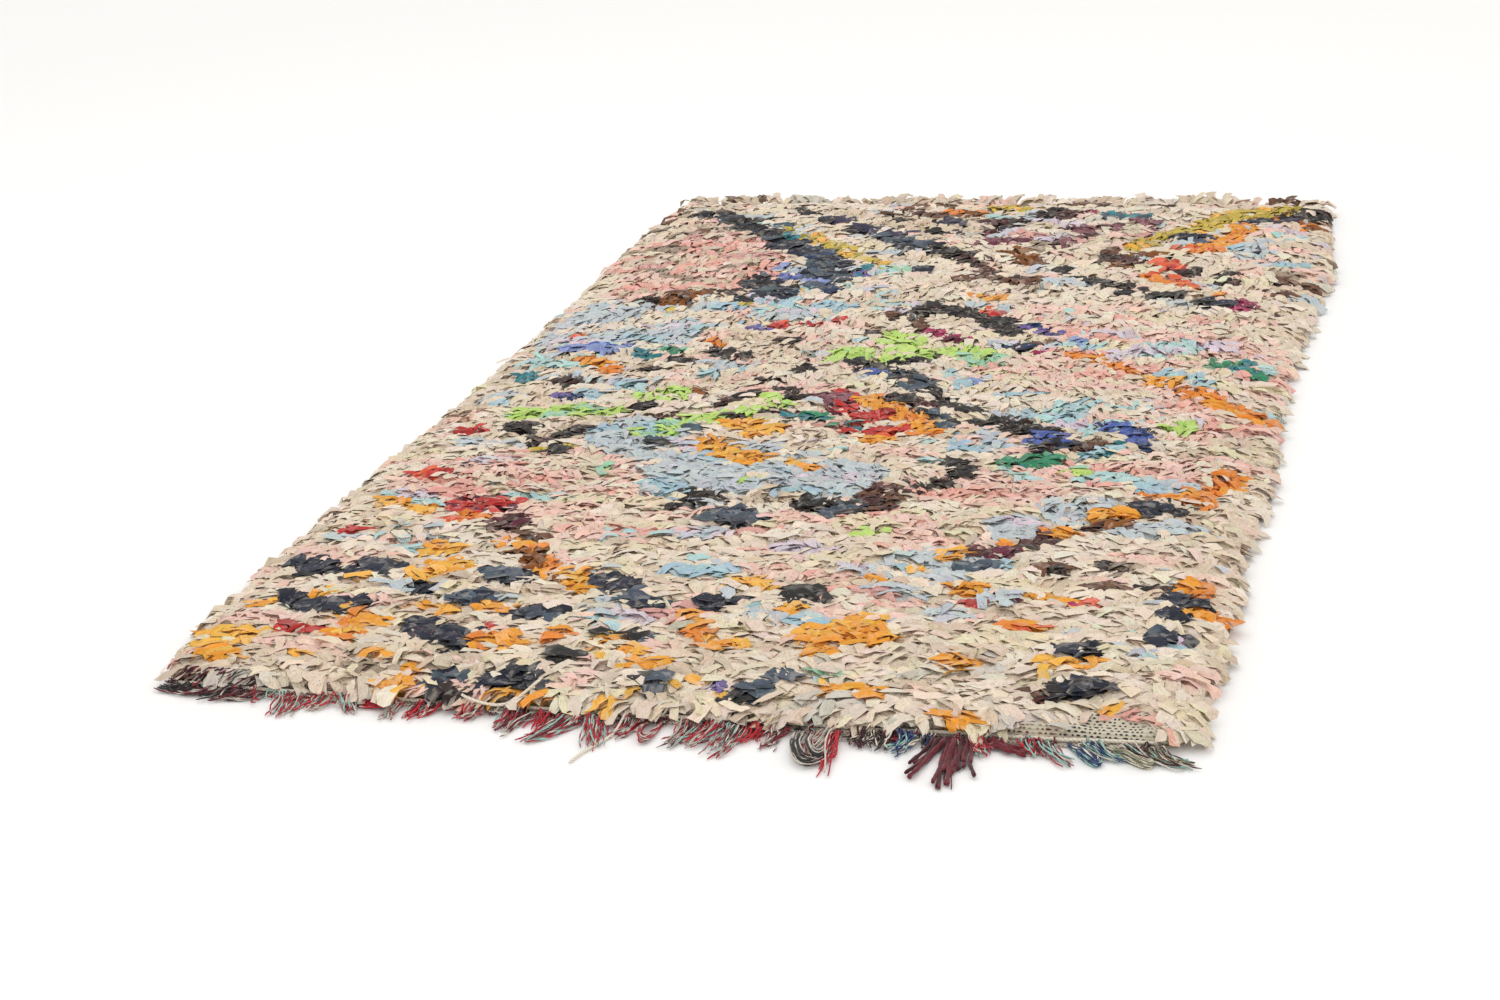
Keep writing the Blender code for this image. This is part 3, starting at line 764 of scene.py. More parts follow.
@dataclass
class Sig:
    """A node's output, so that shader maths can be written as Python expressions."""

    graph: Graph
    socket: bpy.types.NodeSocket

    def __add__(self, other: Sig | float) -> Sig:
        """Adds."""
        return self.graph.math("ADD", self, other)

    __radd__ = __add__

    def __sub__(self, other: Sig | float) -> Sig:
        """Subtracts."""
        return self.graph.math("SUBTRACT", self, other)

    def __rsub__(self, other: float) -> Sig:
        """Subtracts from a number."""
        return self.graph.math("SUBTRACT", other, self)

    def __mul__(self, other: Sig | float) -> Sig:
        """Multiplies."""
        return self.graph.math("MULTIPLY", self, other)

    __rmul__ = __mul__

    def __truediv__(self, other: Sig | float) -> Sig:
        """Divides."""
        return self.graph.math("DIVIDE", self, other)

    def __gt__(self, other: Sig | float) -> Sig:
        """1 where it is greater, else 0."""
        return self.graph.math("GREATER_THAN", self, other)

    def fract(self) -> Sig:
        """Returns what follows the decimal point."""
        return self.graph.math("FRACT", self)

    def clamp(self) -> Sig:
        """Returns the value held between 0 and 1."""
        return self.graph.add("ShaderNodeClamp", {}, {"Value": self})

    def ramp(self, low: float, high: float) -> Sig:
        """A smooth step from 0 at low to 1 at high.

        Args:
            low: Where it begins.
            high: Where it ends.

        Returns:
            The step.
        """
        settings = {"interpolation_type": "SMOOTHSTEP"}
        values = {"Value": self, "From Min": low, "From Max": high}
        return self.graph.add("ShaderNodeMapRange", settings, values)


class Graph:
    """A material under construction."""

    def __init__(self, name: str) -> None:
        """Starts a material with a bare Principled shader.

        Args:
            name: The material's name.
        """
        self.material = bpy.data.materials.new(name)
        self.material.use_nodes = True
        self.nodes = self.material.node_tree.nodes
        self.links = self.material.node_tree.links
        self.shader = self.nodes["Principled BSDF"]

    def put(self, socket: bpy.types.NodeSocket, value: Sig | float | tuple) -> None:
        """Links or sets one socket.

        Args:
            socket: The input.
            value: An output to link, or a number or tuple to store.
        """
        if isinstance(value, Sig):
            self.links.new(value.socket, socket)
        else:
            socket.default_value = value

    def add(self, kind: str, settings: dict, values: dict, output: str | int = 0) -> Sig:
        """Adds a node.

        Args:
            kind: The node's type.
            settings: Its properties, which are set first.
            values: Its inputs, by name or number.
            output: Which output is wanted.

        Returns:
            That output.
        """
        node = self.nodes.new(kind)
        for name, value in settings.items():
            setattr(node, name, value)
        for name, value in values.items():
            self.put(node.inputs[name], value)
        return Sig(self, node.outputs[output])

    def math(self, operation: str, *values: Sig | float) -> Sig:
        """Adds a Math node on one or two values and returns its result."""
        return self.add("ShaderNodeMath", {"operation": operation}, dict(enumerate(values)))

    def attribute(self, name: str, output: str) -> Sig:
        """Reads an attribute of the mesh: its Color, Vector or Fac."""
        return self.add("ShaderNodeAttribute", {"attribute_name": name}, {}, output)

    def parts(self, vector: Sig) -> tuple[Sig, Sig, Sig]:
        """Splits a vector.

        Args:
            vector: The vector.

        Returns:
            Its three numbers.
        """
        first = self.add("ShaderNodeSeparateXYZ", {}, {0: vector})
        outputs = first.socket.node.outputs
        return first, Sig(self, outputs[1]), Sig(self, outputs[2])

    def vector(self, x: Sig | float, y: Sig | float, z: Sig | float) -> Sig:
        """Joins three numbers into a vector."""
        return self.add("ShaderNodeCombineXYZ", {}, {0: x, 1: y, 2: z})

    def noise(self, vector: Sig, scale: float, detail: float = 2.0) -> Sig:
        """Returns soft noise, 0 to 1, of the given scale."""
        values = {"Vector": vector, "Scale": scale, "Detail": detail, "Roughness": 0.55}
        return self.add("ShaderNodeTexNoise", {}, values)

    def blend(self, share: Sig | float, low: Sig | tuple, high: Sig | tuple, way: str = "MIX") -> Sig:
        """Mixes two colours.

        Args:
            share: How much of the second, 0 to 1.
            low: The first colour.
            high: The second colour.
            way: Blender's blend type.

        Returns:
            The mixed colour.
        """
        node = self.nodes.new("ShaderNodeMix")
        node.data_type = "RGBA"
        node.blend_type = way
        self.put(node.inputs[0], share)
        self.put(node.inputs[6], low)
        self.put(node.inputs[7], high)
        return Sig(self, node.outputs[2])

    def bump(self, height: Sig, distance: float, strength: float = 1.0) -> Sig:
        """Returns a normal bent by a height, given in shares of a distance in metres."""
        return self.add("ShaderNodeBump", {}, {"Height": height, "Distance": distance, "Strength": strength})

    def dress(self, colour: Sig, rough: Sig | float, normal: Sig, sheen: float) -> bpy.types.Material:
        """Feeds the shader.

        Args:
            colour: The base colour.
            rough: The roughness.
            normal: The bent normal.
            sheen: How much sheen the cloth has.

        Returns:
            The finished material.
        """
        self.put(self.shader.inputs["Base Color"], colour)
        self.put(self.shader.inputs["Roughness"], rough)
        self.put(self.shader.inputs["Normal"], normal)
        self.shader.inputs["Sheen Weight"].default_value = sheen
        self.shader.inputs["Sheen Roughness"].default_value = 0.5
        self.shader.inputs["Specular IOR Level"].default_value = 0.25
        return self.material


@dataclass(frozen=True)
class RagCloth:
    """Torn, creased cotton: each strip has its own shade, some are printed, and torn edges fray."""

    name: str
    cut: Cut
    rough: float = 0.92
    fold_scale: float = 230.0
    crumple_scale: float = 110.0
    wear_scale: float = 40.0
    speck_scale: float = 260.0
    # Painted shade: shadow is the colour that the folds' valleys and thin crease lines are darkened towards.
    shadow: tuple[float, ...] = (0.48, 0.38, 0.30, 1.0)
    faded: tuple[float, ...] = (0.90, 0.84, 0.76, 1.0)
    blue_ink: tuple[float, ...] = (0.05, 0.06, 0.10, 1.0)
    red_ink: tuple[float, ...] = (0.55, 0.12, 0.14, 1.0)
    thread: tuple[float, ...] = (0.84, 0.78, 0.70, 1.0)

    def material(self) -> bpy.types.Material:
        """Makes the finish, which reads the strips' tint, lie and rim.

        Returns:
            The material.
        """
        graph = Graph(self.name)
        tint = graph.attribute("tint", "Color")
        across, along, seed = graph.parts(graph.attribute("lie", "Vector"))
        rim = graph.attribute("rim", "Fac")
        folds = graph.noise(graph.vector(across, along * 0.30, seed), self.fold_scale, 3.0)
        crumple = graph.noise(
            graph.vector(across, along * 0.7, seed * 1.7 + 5.0), self.crumple_scale, 2.0
        )
        wear = graph.noise(graph.vector(across, along, seed * 0.6), self.wear_scale, 1.0)
        # Painted shade: the valleys between the folds, and thin lines along them, are darkened towards the
        # shadow colour.
        valley_shade = (1.0 - folds.ramp(0.30, 0.46)) * 0.25
        crease_line_shade = 1.0 - graph.math("ABSOLUTE", folds - 0.5).ramp(0.0, 0.035)
        shade = graph.math("MAXIMUM", valley_shade, crease_line_shade * 0.42)
        shaded = graph.blend(shade, tint, self.shadow, "MULTIPLY")
        worn = graph.blend(wear.ramp(0.45, 0.80) * 0.10, shaded, self.faded)
        specks = graph.add(
            "ShaderNodeTexVoronoi",
            {},
            {
                "Vector": graph.vector(across, along, seed * 3.1),
                "Scale": self.speck_scale,
                "Randomness": 0.8,
            },
        )
        printed = (1.0 - specks.ramp(0.16, 0.30)) * ((seed * 0.37).fract() > 1.0 - self.cut.print_share)
        ink = graph.blend((seed * 0.73).fract(), self.blue_ink, self.red_ink)
        figured = graph.blend(printed * 0.6, worn, ink)
        fray = rim.ramp(0.85, 1.0) * crumple.ramp(0.45, 0.65) * 0.18
        frayed = graph.blend(fray, figured, self.thread)
        rough = self.rough + (crumple - 0.5) * 0.12
        normal = graph.bump(folds * 0.9 + crumple, 0.0036, 1.0)
        return graph.dress(frayed, rough, normal, self.cut.sheen)


@dataclass(frozen=True)
class Yarn:
    """Twisted yarn of two plies, each with its own colour."""

    name: str
    hairy: float = 0.25
    # Painted shade: shadow is the colour that the grooves between the plies are darkened towards.
    shadow: tuple[float, ...] = (0.22, 0.19, 0.18, 1.0)
    hair: tuple[float, ...] = (0.75, 0.70, 0.64, 1.0)

    def material(self) -> bpy.types.Material:
        """Makes the finish, which reads the two plies and how they wind.

        Returns:
            The material.
        """
        graph = Graph(self.name)
        first = graph.attribute("ply_a", "Color")
        second = graph.attribute("ply_b", "Color")
        around, along, seed = graph.parts(graph.attribute("wind", "Vector"))
        strand = (around + along).fract()
        fibre = graph.noise(graph.vector(around * 6.0, along * 2.0, seed), 3.0, 3.0)
        choice = ((strand - 0.5).ramp(-0.06, 0.06) + (fibre - 0.5) * 0.5).clamp()
        groove = graph.math("ABSOLUTE", (strand * 2.0).fract() - 0.5) * 2.0
        base = graph.blend(choice, first, second)
        # Painted shade: the grooves between the two plies are darkened towards the shadow colour.
        deep = graph.blend(groove.ramp(0.60, 1.0) * 0.30, base, self.shadow, "MULTIPLY")
        hairs = graph.blend(fibre.ramp(0.60, 0.85) * self.hairy, deep, self.hair)
        normal = graph.bump(1.0 - groove * groove + fibre * 0.5, 0.0008, 0.8)
        return graph.dress(hairs, 0.88 + (fibre - 0.5) * 0.1, normal, 0.2)


@dataclass(frozen=True)
class WovenGround:
    """Hand-woven wool: weft ribs packed over the warp, with dots of darker warp where they show."""

    name: str
    weft: str
    warp: str
    dots: float
    rib: float = 0.0030
    dot: float = 0.0052
    least: float = 0.42
    other: str = ""
    parting: float = 0.52
    uneven: float = 0.0
    shadow: tuple[float, ...] = (0.32, 0.24, 0.17, 1.0)

    def material(self) -> bpy.types.Material:
        """Makes the finish, patterned on the piece's own coordinates.

        Returns:
            The material.
        """
        graph = Graph(self.name)
        place = graph.add("ShaderNodeTexCoord", {}, {}, "Object")
        x, y, z = graph.parts(place)
        row = (y + z) / self.rib
        pick = graph.math("FLOOR", row)
        sway = graph.noise(graph.vector(x, pick * 0.9, 0.0), 60.0, 1.0) * self.uneven
        column = x / self.dot + pick * 0.5 + sway
        over_row = 1.0 - graph.math("ABSOLUTE", row.fract() - 0.5) * 2.0
        over_column = 1.0 - graph.math("ABSOLUTE", column.fract() - 0.5) * 2.0
        knap = over_row * over_column
        fibre = graph.noise(graph.vector(x, y * 3.0, z), 700.0, 3.0)
        cloud = graph.noise(place, 22.0, 2.0)
        weft = graph.blend(fibre * 0.3 + cloud * 0.3, (*linear(self.weft), 1.0), self.shadow)
        show = knap.ramp(self.least, self.least + 0.20) * cloud.ramp(0.28, 0.40) * self.dots
        first, second = (*linear(self.warp), 1.0), (*linear(self.other or self.warp), 1.0)
        warp = graph.blend(x.ramp(self.parting - 0.01, self.parting + 0.01), first, second)
        dotted = graph.blend(show, weft, warp)
        normal = graph.bump(over_row * 0.7 + knap * 0.6 + fibre * 0.3, 0.0012, 0.9)
        return graph.dress(dotted, 0.92, normal, 0.15)


@dataclass(frozen=True)
class PileTop:
    """The lumpy height of the pile, as on the solid: lower towards the rim."""

    outline: Outline
    height: float = 0.034
    rim: float = 0.023
    rounding: float = 0.10
    lump: float = 0.009
    pitch: float = 0.11
    knot_share: float = 0.81

    def knots(self, x: np.ndarray, y: np.ndarray) -> np.ndarray:
        """Returns how high the knots under the strips stand at each place."""
        return self.knot_share * self.at(x, y)

    def at(self, x: np.ndarray, y: np.ndarray) -> np.ndarray:
        """The pile's height.

        Args:
            x: Places across the rug.
            y: Places along the rug.

        Returns:
            The height above the floor, for each place.
        """
        left, right = self.outline.reach(y)
        to_rim = np.minimum(np.minimum(x + left, right - x), self.outline.far() - y)
        crown = smooth(np.minimum(to_rim, y - self.outline.near(x)) / self.rounding)
        lumps = self._waves(x, y, 0.0, self.pitch) * self.lump
        fine = self._waves(x, y, 1.0, self.pitch / 2) * self.lump / 2
        return self.rim + crown * (self.height - self.rim + lumps) + fine

    def _waves(self, x: np.ndarray, y: np.ndarray, layer: float, pitch: float) -> np.ndarray:
        """Returns soft noise of one pitch, about -1 to 1, for each place."""
        values = [noise.noise(Vector((a, b, layer)) / pitch) for a, b in zip(x.ravel(), y.ravel())]
        return np.array(values).reshape(x.shape)


@dataclass(frozen=True)
class Chart:
    """Reads the shade of the rag at any place, from the background's mixes and the design."""

    view: Viewpoint
    tip: float = 0.026
    flop: float = 0.010
    stray: float = 0.05
    mixed: float = 0.10
    spot_across: float = 0.60
    spot_along: float = 0.42
    band_half: float = 0.46
    patch: tuple[float, float] = (0.085, 0.032)
    shred: tuple[float, float] = (0.040, 0.022)
    seed: int = 20

    def read(self, x: np.ndarray, y: np.ndarray, chance: np.random.Generator) -> np.ndarray:
        """Finds the shades.

        Args:
            x: Places across the rug.
            y: Places along the rug.
            chance: The source of chance.

        Returns:
            The shades' places in the list of shades.
        """
        names = list(SHADES)
        y = y - self.flop * (1.0 + 2.0 * smooth(y + 1.2))
        x, y = self.view.floor_behind(x, y, self.tip)
        x = x + chance.normal(0.0, 0.004, x.shape)
        y = y + chance.normal(0.0, 0.003, y.shape)
        loose = chance.random(x.shape)
        own = chance.random(x.shape)
        draw = np.where(loose < self.mixed, own, cells(x, y, self.patch, self.seed))
        shade = self._pick(PALE, draw, names)
        for region in FIELDS:
            across = (x - region.middle[0]) / region.reach[0]
            along = (y - region.middle[1]) / region.reach[1]
            inside = across**2 + along**2 + chance.normal(0.0, 0.12, x.shape) < 1.0
            shade = np.where(inside, self._pick(region.rags, draw, names), shade)
        draw = np.where(loose < self.mixed, own, cells(x, y, self.shred, self.seed + 1))
        for mark in DESIGN:
            inside = self._inside(mark, x, y) & (own > self.stray)
            shade = np.where(inside, self._pick(mark.rags, draw, names), shade)
        return shade

    def _pick(self, rags: str, draw: np.ndarray, names: list[str]) -> np.ndarray:
        """Draws a shade from a list of rags.

        Args:
            rags: The shades' names, with spaces between them, and how many times each counts.
            draw: Numbers from 0 to 1.
            names: All shade names, in their order.

        Returns:
            The place of each drawn shade among the names.
        """
        choices = []
        for entry in rags.split():
            rag, _, times = entry.partition("*")
            choices += [names.index(rag)] * int(times or 1)
        choices = np.array(choices)
        return choices[np.minimum((draw * len(choices)).astype(int), len(choices) - 1)]

    def _inside(self, mark: Band | Spots, x: np.ndarray, y: np.ndarray) -> np.ndarray:
        """Which places belong to a mark of the design.

        Args:
            mark: The band or the spots.
            x: Places on the chart, across.
            y: Places on the chart, along.

        Returns:
            True for each place that does.
        """
        if isinstance(mark, Spots):
            found = np.zeros(x.shape, bool)
            for middle_x, middle_y in mark.places:
                across = (x - middle_x) / (mark.wide * self.spot_across)
                along = (y - middle_y) / (mark.wide * self.spot_along)
                found |= across**2 + along**2 < 1
            return found
        near = np.full(x.shape, np.inf)
        for start, end in zip(mark.places, mark.places[1:]):
            step = (end[0] - start[0], end[1] - start[1])
            share = ((x - start[0]) * step[0] + (y - start[1]) * step[1]) / (step[0] ** 2 + step[1] ** 2)
            share = np.clip(share, 0.0, 1.0)
            away = np.hypot(x - start[0] - share * step[0], y - start[1] - share * step[1])
            near = np.minimum(near, away)
        return near < mark.wide * self.band_half


@dataclass(frozen=True)
class StripEnds:
    """Loose strip ends, one number each: where they are tied, which way they lie, and their shade."""

    x: np.ndarray
    y: np.ndarray
    foot: np.ndarray
    cap: np.ndarray
    bearing: np.ndarray
    outward: np.ndarray
    shade: np.ndarray

    def only(self, which: np.ndarray) -> StripEnds:
        """Returns the strip ends that a mask chooses."""
        return StripEnds(*[getattr(self, name)[which] for name in self.__dataclass_fields__])


@dataclass(frozen=True)
class Wear:
    """The place by the near edge where the pile is worn off and the ground shows."""

    outline: Outline
    middle: float = 0.590
    half: float = 0.038
    deep: float = 0.026
    sunk: float = 0.40

    def left_over(self, x: np.ndarray, y: np.ndarray) -> np.ndarray:
        """Returns how much of the knots' height is left at each place, as a share."""
        return 1.0 - self.sunk * self.at(x, y)

    def at(self, x: np.ndarray, y: np.ndarray) -> np.ndarray:
        """Returns how worn the pile is at each place, 0 to 1."""
        across = smooth(2.0 - 1.5 * np.abs(x - self.middle) / self.half)
        return across * smooth(2.0 - 1.5 * (y - self.outline.near(x)) / self.deep)


@dataclass
class RagPile:
    """The pile: every knot's torn strip ends, creased and flopped over one another along the rows."""

    outline: Outline
    top: PileTop
    chart: Chart
    wear: Wear
    rows: int = 130
    columns: int = 110
    most: int = 3
    hem: float = 0.007
    bed_share: float = 0.82
    reach: float = 0.018
    over: float = 0.003
    clump: tuple[float, float] = (0.095, 0.050)
    tuft: tuple[float, float] = (0.044, 0.032)
    tuft_lift: float = 0.005
    cord_top: float = 0.0118
    thin_top: float = 0.0060
    floor_top: float = 0.0012
    leftwards: tuple[float, float] = (203.0, 48.0)
    rightwards: tuple[float, float] = (-28.0, -44.0)
    crosswise: float = 0.10
    nearer: Ease = Ease(-0.50, -0.45)
    upright: Ease = Ease(-0.1, 0.9)
    climb: tuple[float, float, float] = (17.0, 1.0, -23.0)
    climb_spread: tuple[float, float, float] = (9.0, 9.0, 14.0)
    climb_upright: tuple[float, float, float] = (5.0, 2.0, -4.0)
    droop: tuple[float, float, float] = (22.0, 22.0, 26.0)
    turn: tuple[float, float, float] = (0.0, 0.5, 1.0)
    narrowest: tuple[float, ...] = (0.55, 0.80, 0.85, 0.60)
    widest: tuple[float, ...] = (0.95, 1.20, 1.25, 1.35)
    torn: tuple[float, ...] = (0.3, 0.6, 0.8, 1.7)
    torn_by: float = 0.0026
    seed: int = 4

    def lay(self) -> StripEnds:
        """Ties the knots in rows and decides how each strip end lies.

        Returns:
            All strip ends.
        """
        chance = np.random.default_rng(self.seed)
        shape = (self.rows, self.columns, self.most)
        jog = chance.uniform(-0.5, 0.5, shape)
        across = (np.arange(self.columns)[None, :, None] + 0.5 + jog) / self.columns
        shift = chance.uniform(-0.28, 0.28, shape)
        along = (np.arange(self.rows)[:, None, None] + 0.5 + shift) / self.rows
        x, y = (part.ravel() for part in self.outline.place(across, along))
        y = np.maximum(y, self.outline.near(x) + self.hem + 0.014 * Ease(-0.40, -0.15).at(x))
        # The near right side and the near left corner are drawn in a little
        x = x - 0.020 * Ease(0.50, 0.15).at(x) * Ease(-0.45, -0.25).at(y) * Ease(-1.23, 0.08).at(y)
        x = x + 0.012 * Ease(-0.60, -0.08).at(x) * Ease(-1.05, -0.12).at(y)
        bearing, outward = self._bearings(x, y, chance)
        height = self.top.at(x, y)
        tuft = cells(x, y, self.tuft, self.seed + 42) - 0.5
        foot = self.bed_share * height + self.tuft_lift * tuft + chance.uniform(-0.001, 0.003, x.shape)
        middle_x = x + self.reach * np.cos(bearing)
        middle_y = y + self.reach * np.sin(bearing)
        shade = self.chart.read(middle_x, middle_y, chance)
        cap = height + self.over + 0.008 * by_edge(self.outline.far() - y, 0.04)
        ends = StripEnds(x, y, foot, cap, bearing, outward, shade)
        share = np.array([CUTS[tone.rag].ends for tone in SHADES.values()])[shade] / self.most
        worn = self.wear.at(x, y) > 0.5
        share = share * (1.02 - 0.12 * self.nearer.at(y) - 0.24 * self.upright.at(y))
        return ends.only((chance.random(x.shape) < share) & ~worn)

    def build(self) -> list[bpy.types.Object]:
        """Makes one piece for each kind of rag.

        Returns:
            The pieces.
        """
        ends = self.lay()
        kinds = list(Rag)
        kind_of = np.array([kinds.index(tone.rag) for tone in SHADES.values()])[ends.shade]
        return [self._piece(rag, ends.only(kind_of == number), number) for number, rag in enumerate(kinds)]

    def _bearings(
        self, x: np.ndarray, y: np.ndarray, chance: np.random.Generator
    ) -> tuple[np.ndarray, np.ndarray]:
        """Which way each strip end lies: combed in clumps along the rows, and outwards at the rim.

        Args:
            x: The knots' places across the rug.
            y: The knots' places along the rug.
            chance: The source of chance.

        Returns:
            The bearing of each, and how much of an edge strip it is, 0 to 1.
        """
        left, right = self.outline.reach(y)
        out_right = by_edge(right - x, 0.08)
        out_left = by_edge(x + left, 0.08)
        bare = Ease(0.33, 0.04).at(x) * Ease(0.62, -0.04).at(x)
        out_near = by_edge(y - self.outline.near(x), 0.05)
        out_far = by_edge(self.outline.far() - y, 0.05)
        side = cells(x, y, self.clump, self.seed + 40)
        tilt = cells(x, y, self.tuft, self.seed + 41) - 0.5
        is_left = side + chance.normal(0.0, 0.16, x.shape) < 0.56 - 0.24 * x / 0.7
        upright = Ease(-0.5, 0.9).at(y)
        to_left = self.leftwards[0] + self.leftwards[1] * upright
        to_right = self.rightwards[0] + self.rightwards[1] * upright
        sideways = np.where(is_left, to_left, to_right)
        angle = sideways + 56.0 * tilt + chance.normal(0.0, 14.0, x.shape)
        crosswise = chance.random(x.shape) < self.crosswise * (1.0 - bare * out_near)
        angle = np.radians(np.where(crosswise, chance.normal(-90.0, 50.0, x.shape), angle))
        across = np.cos(angle) * (1.0 - 0.4 * out_near) + 2.0 * (out_right - out_left)
        along = np.sin(angle) - out_near * (0.34 - 0.84 * bare) + 1.6 * out_far
        near_row = smooth((0.11 - y + self.outline.near(x)) / 0.04)
        along = along + 0.9 * near_row * Ease(0.50, 0.03).at(x) * Ease(0.625, -0.02).at(x)
        along = along - 0.7 * near_row * Ease(0.625, 0.02).at(x)
        outward = np.clip(out_right + out_left + 0.4 * out_near * (1.0 - bare), 0.0, 1.0)
        return np.arctan2(along, across), outward

    def _piece(self, rag: Rag, ends: StripEnds, number: int) -> bpy.types.Object:
        """Makes the strip ends of one kind of rag.

        Args:
            rag: The kind.
            ends: The strip ends.
            number: The kind's place in the list, which seeds its chance.

        Returns:
            The piece.
        """
        cut = CUTS[rag]
        chance = np.random.default_rng(self.seed + 1 + number)
        wide = cut.wide * chance.uniform(0.65, 1.35, ends.x.shape)
        points = self._strips(ends, wide, cut, chance)
        points[..., 2] = self._settle(points, ends, cut)
        obj = joined_mesh(rag.value, points.reshape(-1, 3), [self._faces(len(wide), cut.columns)])
        obj.data.shade_smooth()
        obj.data.set_sharp_from_angle(angle=math.radians(42))
        self._colour(obj.data, ends.shade, wide, cut, chance)
        material = RagCloth(f"{rag.value}_cloth", cut).material()
        return finish_piece(obj, material, "rag_cloth", "rag_field")

    def _strips(
        self, ends: StripEnds, wide: np.ndarray, cut: Cut, chance: np.random.Generator
    ) -> np.ndarray:
        """Bends each strip end from its knot up, over and down again, with pleats along it.

        Args:
            ends: The strip ends.
            wide: Their widths.
            cut: How this kind is torn.
            chance: The source of chance.

        Returns:
            The places of the points: strip, row from root to tip, column across, and x, y, z.
        """
        count = len(wide)
        upright = self.upright.at(ends.y)
        nearer = self.nearer.at(ends.y)
        wide = wide * (1.04 + 0.20 * nearer + 0.36 * upright)
        long = cut.long * chance.uniform(0.70, 1.25, count) * (1.0 + 0.12 * nearer + 0.20 * upright)
        bearing, climb, roll = self._bend(ends, chance)
        level, steep = np.cos(climb), np.sin(climb)
        step = np.stack([level * np.cos(bearing), level * np.sin(bearing), steep], axis=2)
        step = step * (long / 3)[:, None, None]
        start = np.stack([ends.x, ends.y, ends.foot + cut.proud], axis=1)
        spine = np.concatenate([start[:, None, :], start[:, None, :] + np.cumsum(step, axis=1)], axis=1)
        bearing = np.concatenate([bearing[:, :1], bearing], axis=1)
        climb = np.concatenate([climb[:, :1], climb], axis=1)
        side = np.stack([-np.sin(bearing), np.cos(bearing), np.zeros_like(bearing)], axis=2)
        level, steep = np.cos(climb), np.sin(climb)
        up = np.stack([-steep * np.cos(bearing), -steep * np.sin(bearing), level], axis=2)
        ahead = np.cross(side, up)
        cosine, sine = np.cos(roll)[..., None], np.sin(roll)[..., None]
        over = side * cosine + up * sine
        face = up * cosine - side * sine
        low, high = np.array(self.narrowest), np.array(self.widest)
        spread = low + (high - low) * chance.random((count, 4))
        size = (count, 4, cut.columns)
        places = np.linspace(-0.5, 0.5, cut.columns) + chance.normal(0.0, 0.05, size)
        offset = places * (wide[:, None] * spread)[..., None]
        sign = chance.choice([-1.0, 1.0], (count, 1, 1))
        zigzag = np.array([-0.5, 1.0, -0.5] if cut.columns == 3 else [-0.5, 1.0, -1.0, 0.5])
        pleat = zigzag * sign * chance.uniform(0.2, 1.0, (count, 1, cut.columns))
        height = cut.pleat * pleat + chance.normal(0.0, cut.crumple, size)
        torn = chance.normal(0.0, self.torn_by, size) * np.array(self.torn)[None, :, None]
        return (
            spine[:, :, None, :]
            + over[:, :, None, :] * offset[..., None]
            + face[:, :, None, :] * height[..., None]
            + ahead[:, :, None, :] * torn[..., None]
        )

    def _bend(
        self, ends: StripEnds, chance: np.random.Generator
    ) -> tuple[np.ndarray, np.ndarray, np.ndarray]:
        """How each third of a strip points and climbs, and how the strip rolls.

        Args:
            ends: The strip ends.
            chance: The source of chance.

        Returns:
            The bearing and the climb of each third, and the roll at each row, in radians.
        """
        count = len(ends.x)
        climb = chance.normal(0.0, 1.0, (count, 3)) * np.array(self.climb_spread) + np.array(self.climb)
        climb = climb + self.upright.at(ends.y)[:, None] * np.array(self.climb_upright)
        back = by_edge(self.outline.far() - ends.y, 0.03) * chance.uniform(0.0, 1.0, count)
        corner = Ease(0.60, 0.05).at(np.abs(ends.x - 0.03))
        climb = climb + (back * (24.0 + 12.0 * corner))[:, None]
        climb = np.radians(climb - ends.outward[:, None] * np.array(self.droop))
        turn = np.radians(chance.normal(0.0, 26.0, (count, 1)) * np.array(self.turn))
        tilt = chance.normal(0.0, 8.0, (count, 1))
        twist = chance.normal(0.0, 14.0, (count, 1))
        roll = np.radians(tilt + twist * np.linspace(0, 1, 4))
        return ends.bearing[:, None] + turn, climb, roll

    def _settle(self, points: np.ndarray, ends: StripEnds, cut: Cut) -> np.ndarray:
        """Presses the strips down to the height of the pile, and lays them on the cord and the floor.

        Args:
            points: The places of the strips' points.
            ends: The strip ends.
            cut: How this kind is torn.

        Returns:
            The points' heights after that.
        """
        x, y, z = points[..., 0], points[..., 1], points[..., 2]
        cap = (ends.cap + 0.5 * cut.proud)[:, None, None]
        z = np.where(z > cap, cap + (z - cap) * 0.35, z)
        out = self.outline.near(x) - y
        rest = np.where((out > 0.0) & (out < 0.020), self.cord_top, self.floor_top)
        rest = np.where(out >= 0.020, self.thin_top, rest)
        return np.maximum(z, rest + 0.15 * np.maximum(z - rest, 0.0))

    def _faces(self, count: int, columns: int) -> np.ndarray:
        """The faces of all strips: a creased top, and an underside stretched between its edges.

        Args:
            count: How many strips there are.
            columns: How many points a strip has across.

        Returns:
            The faces' point numbers, three to a face.
        """
        grid = np.arange(4 * columns).reshape(4, columns)
        quads = [
            (grid[r, c], grid[r + 1, c], grid[r + 1, c + 1], grid[r, c + 1])
            for r in range(3)
            for c in range(columns - 1)
        ]
        quads += [(grid[r, 0], grid[r, -1], grid[r + 1, -1], grid[r + 1, 0]) for r in range(3)]
        faces = [face for a, b, c, d in quads for face in ((a, b, c), (a, c, d))]
        faces += [(grid[0, 0], grid[0, c], grid[0, c + 1]) for c in range(1, columns - 1)]
        faces += [(grid[3, 0], grid[3, c + 1], grid[3, c]) for c in range(1, columns - 1)]
        return (np.array(faces)[None] + 4 * columns * np.arange(count)[:, None, None]).reshape(-1, 3)

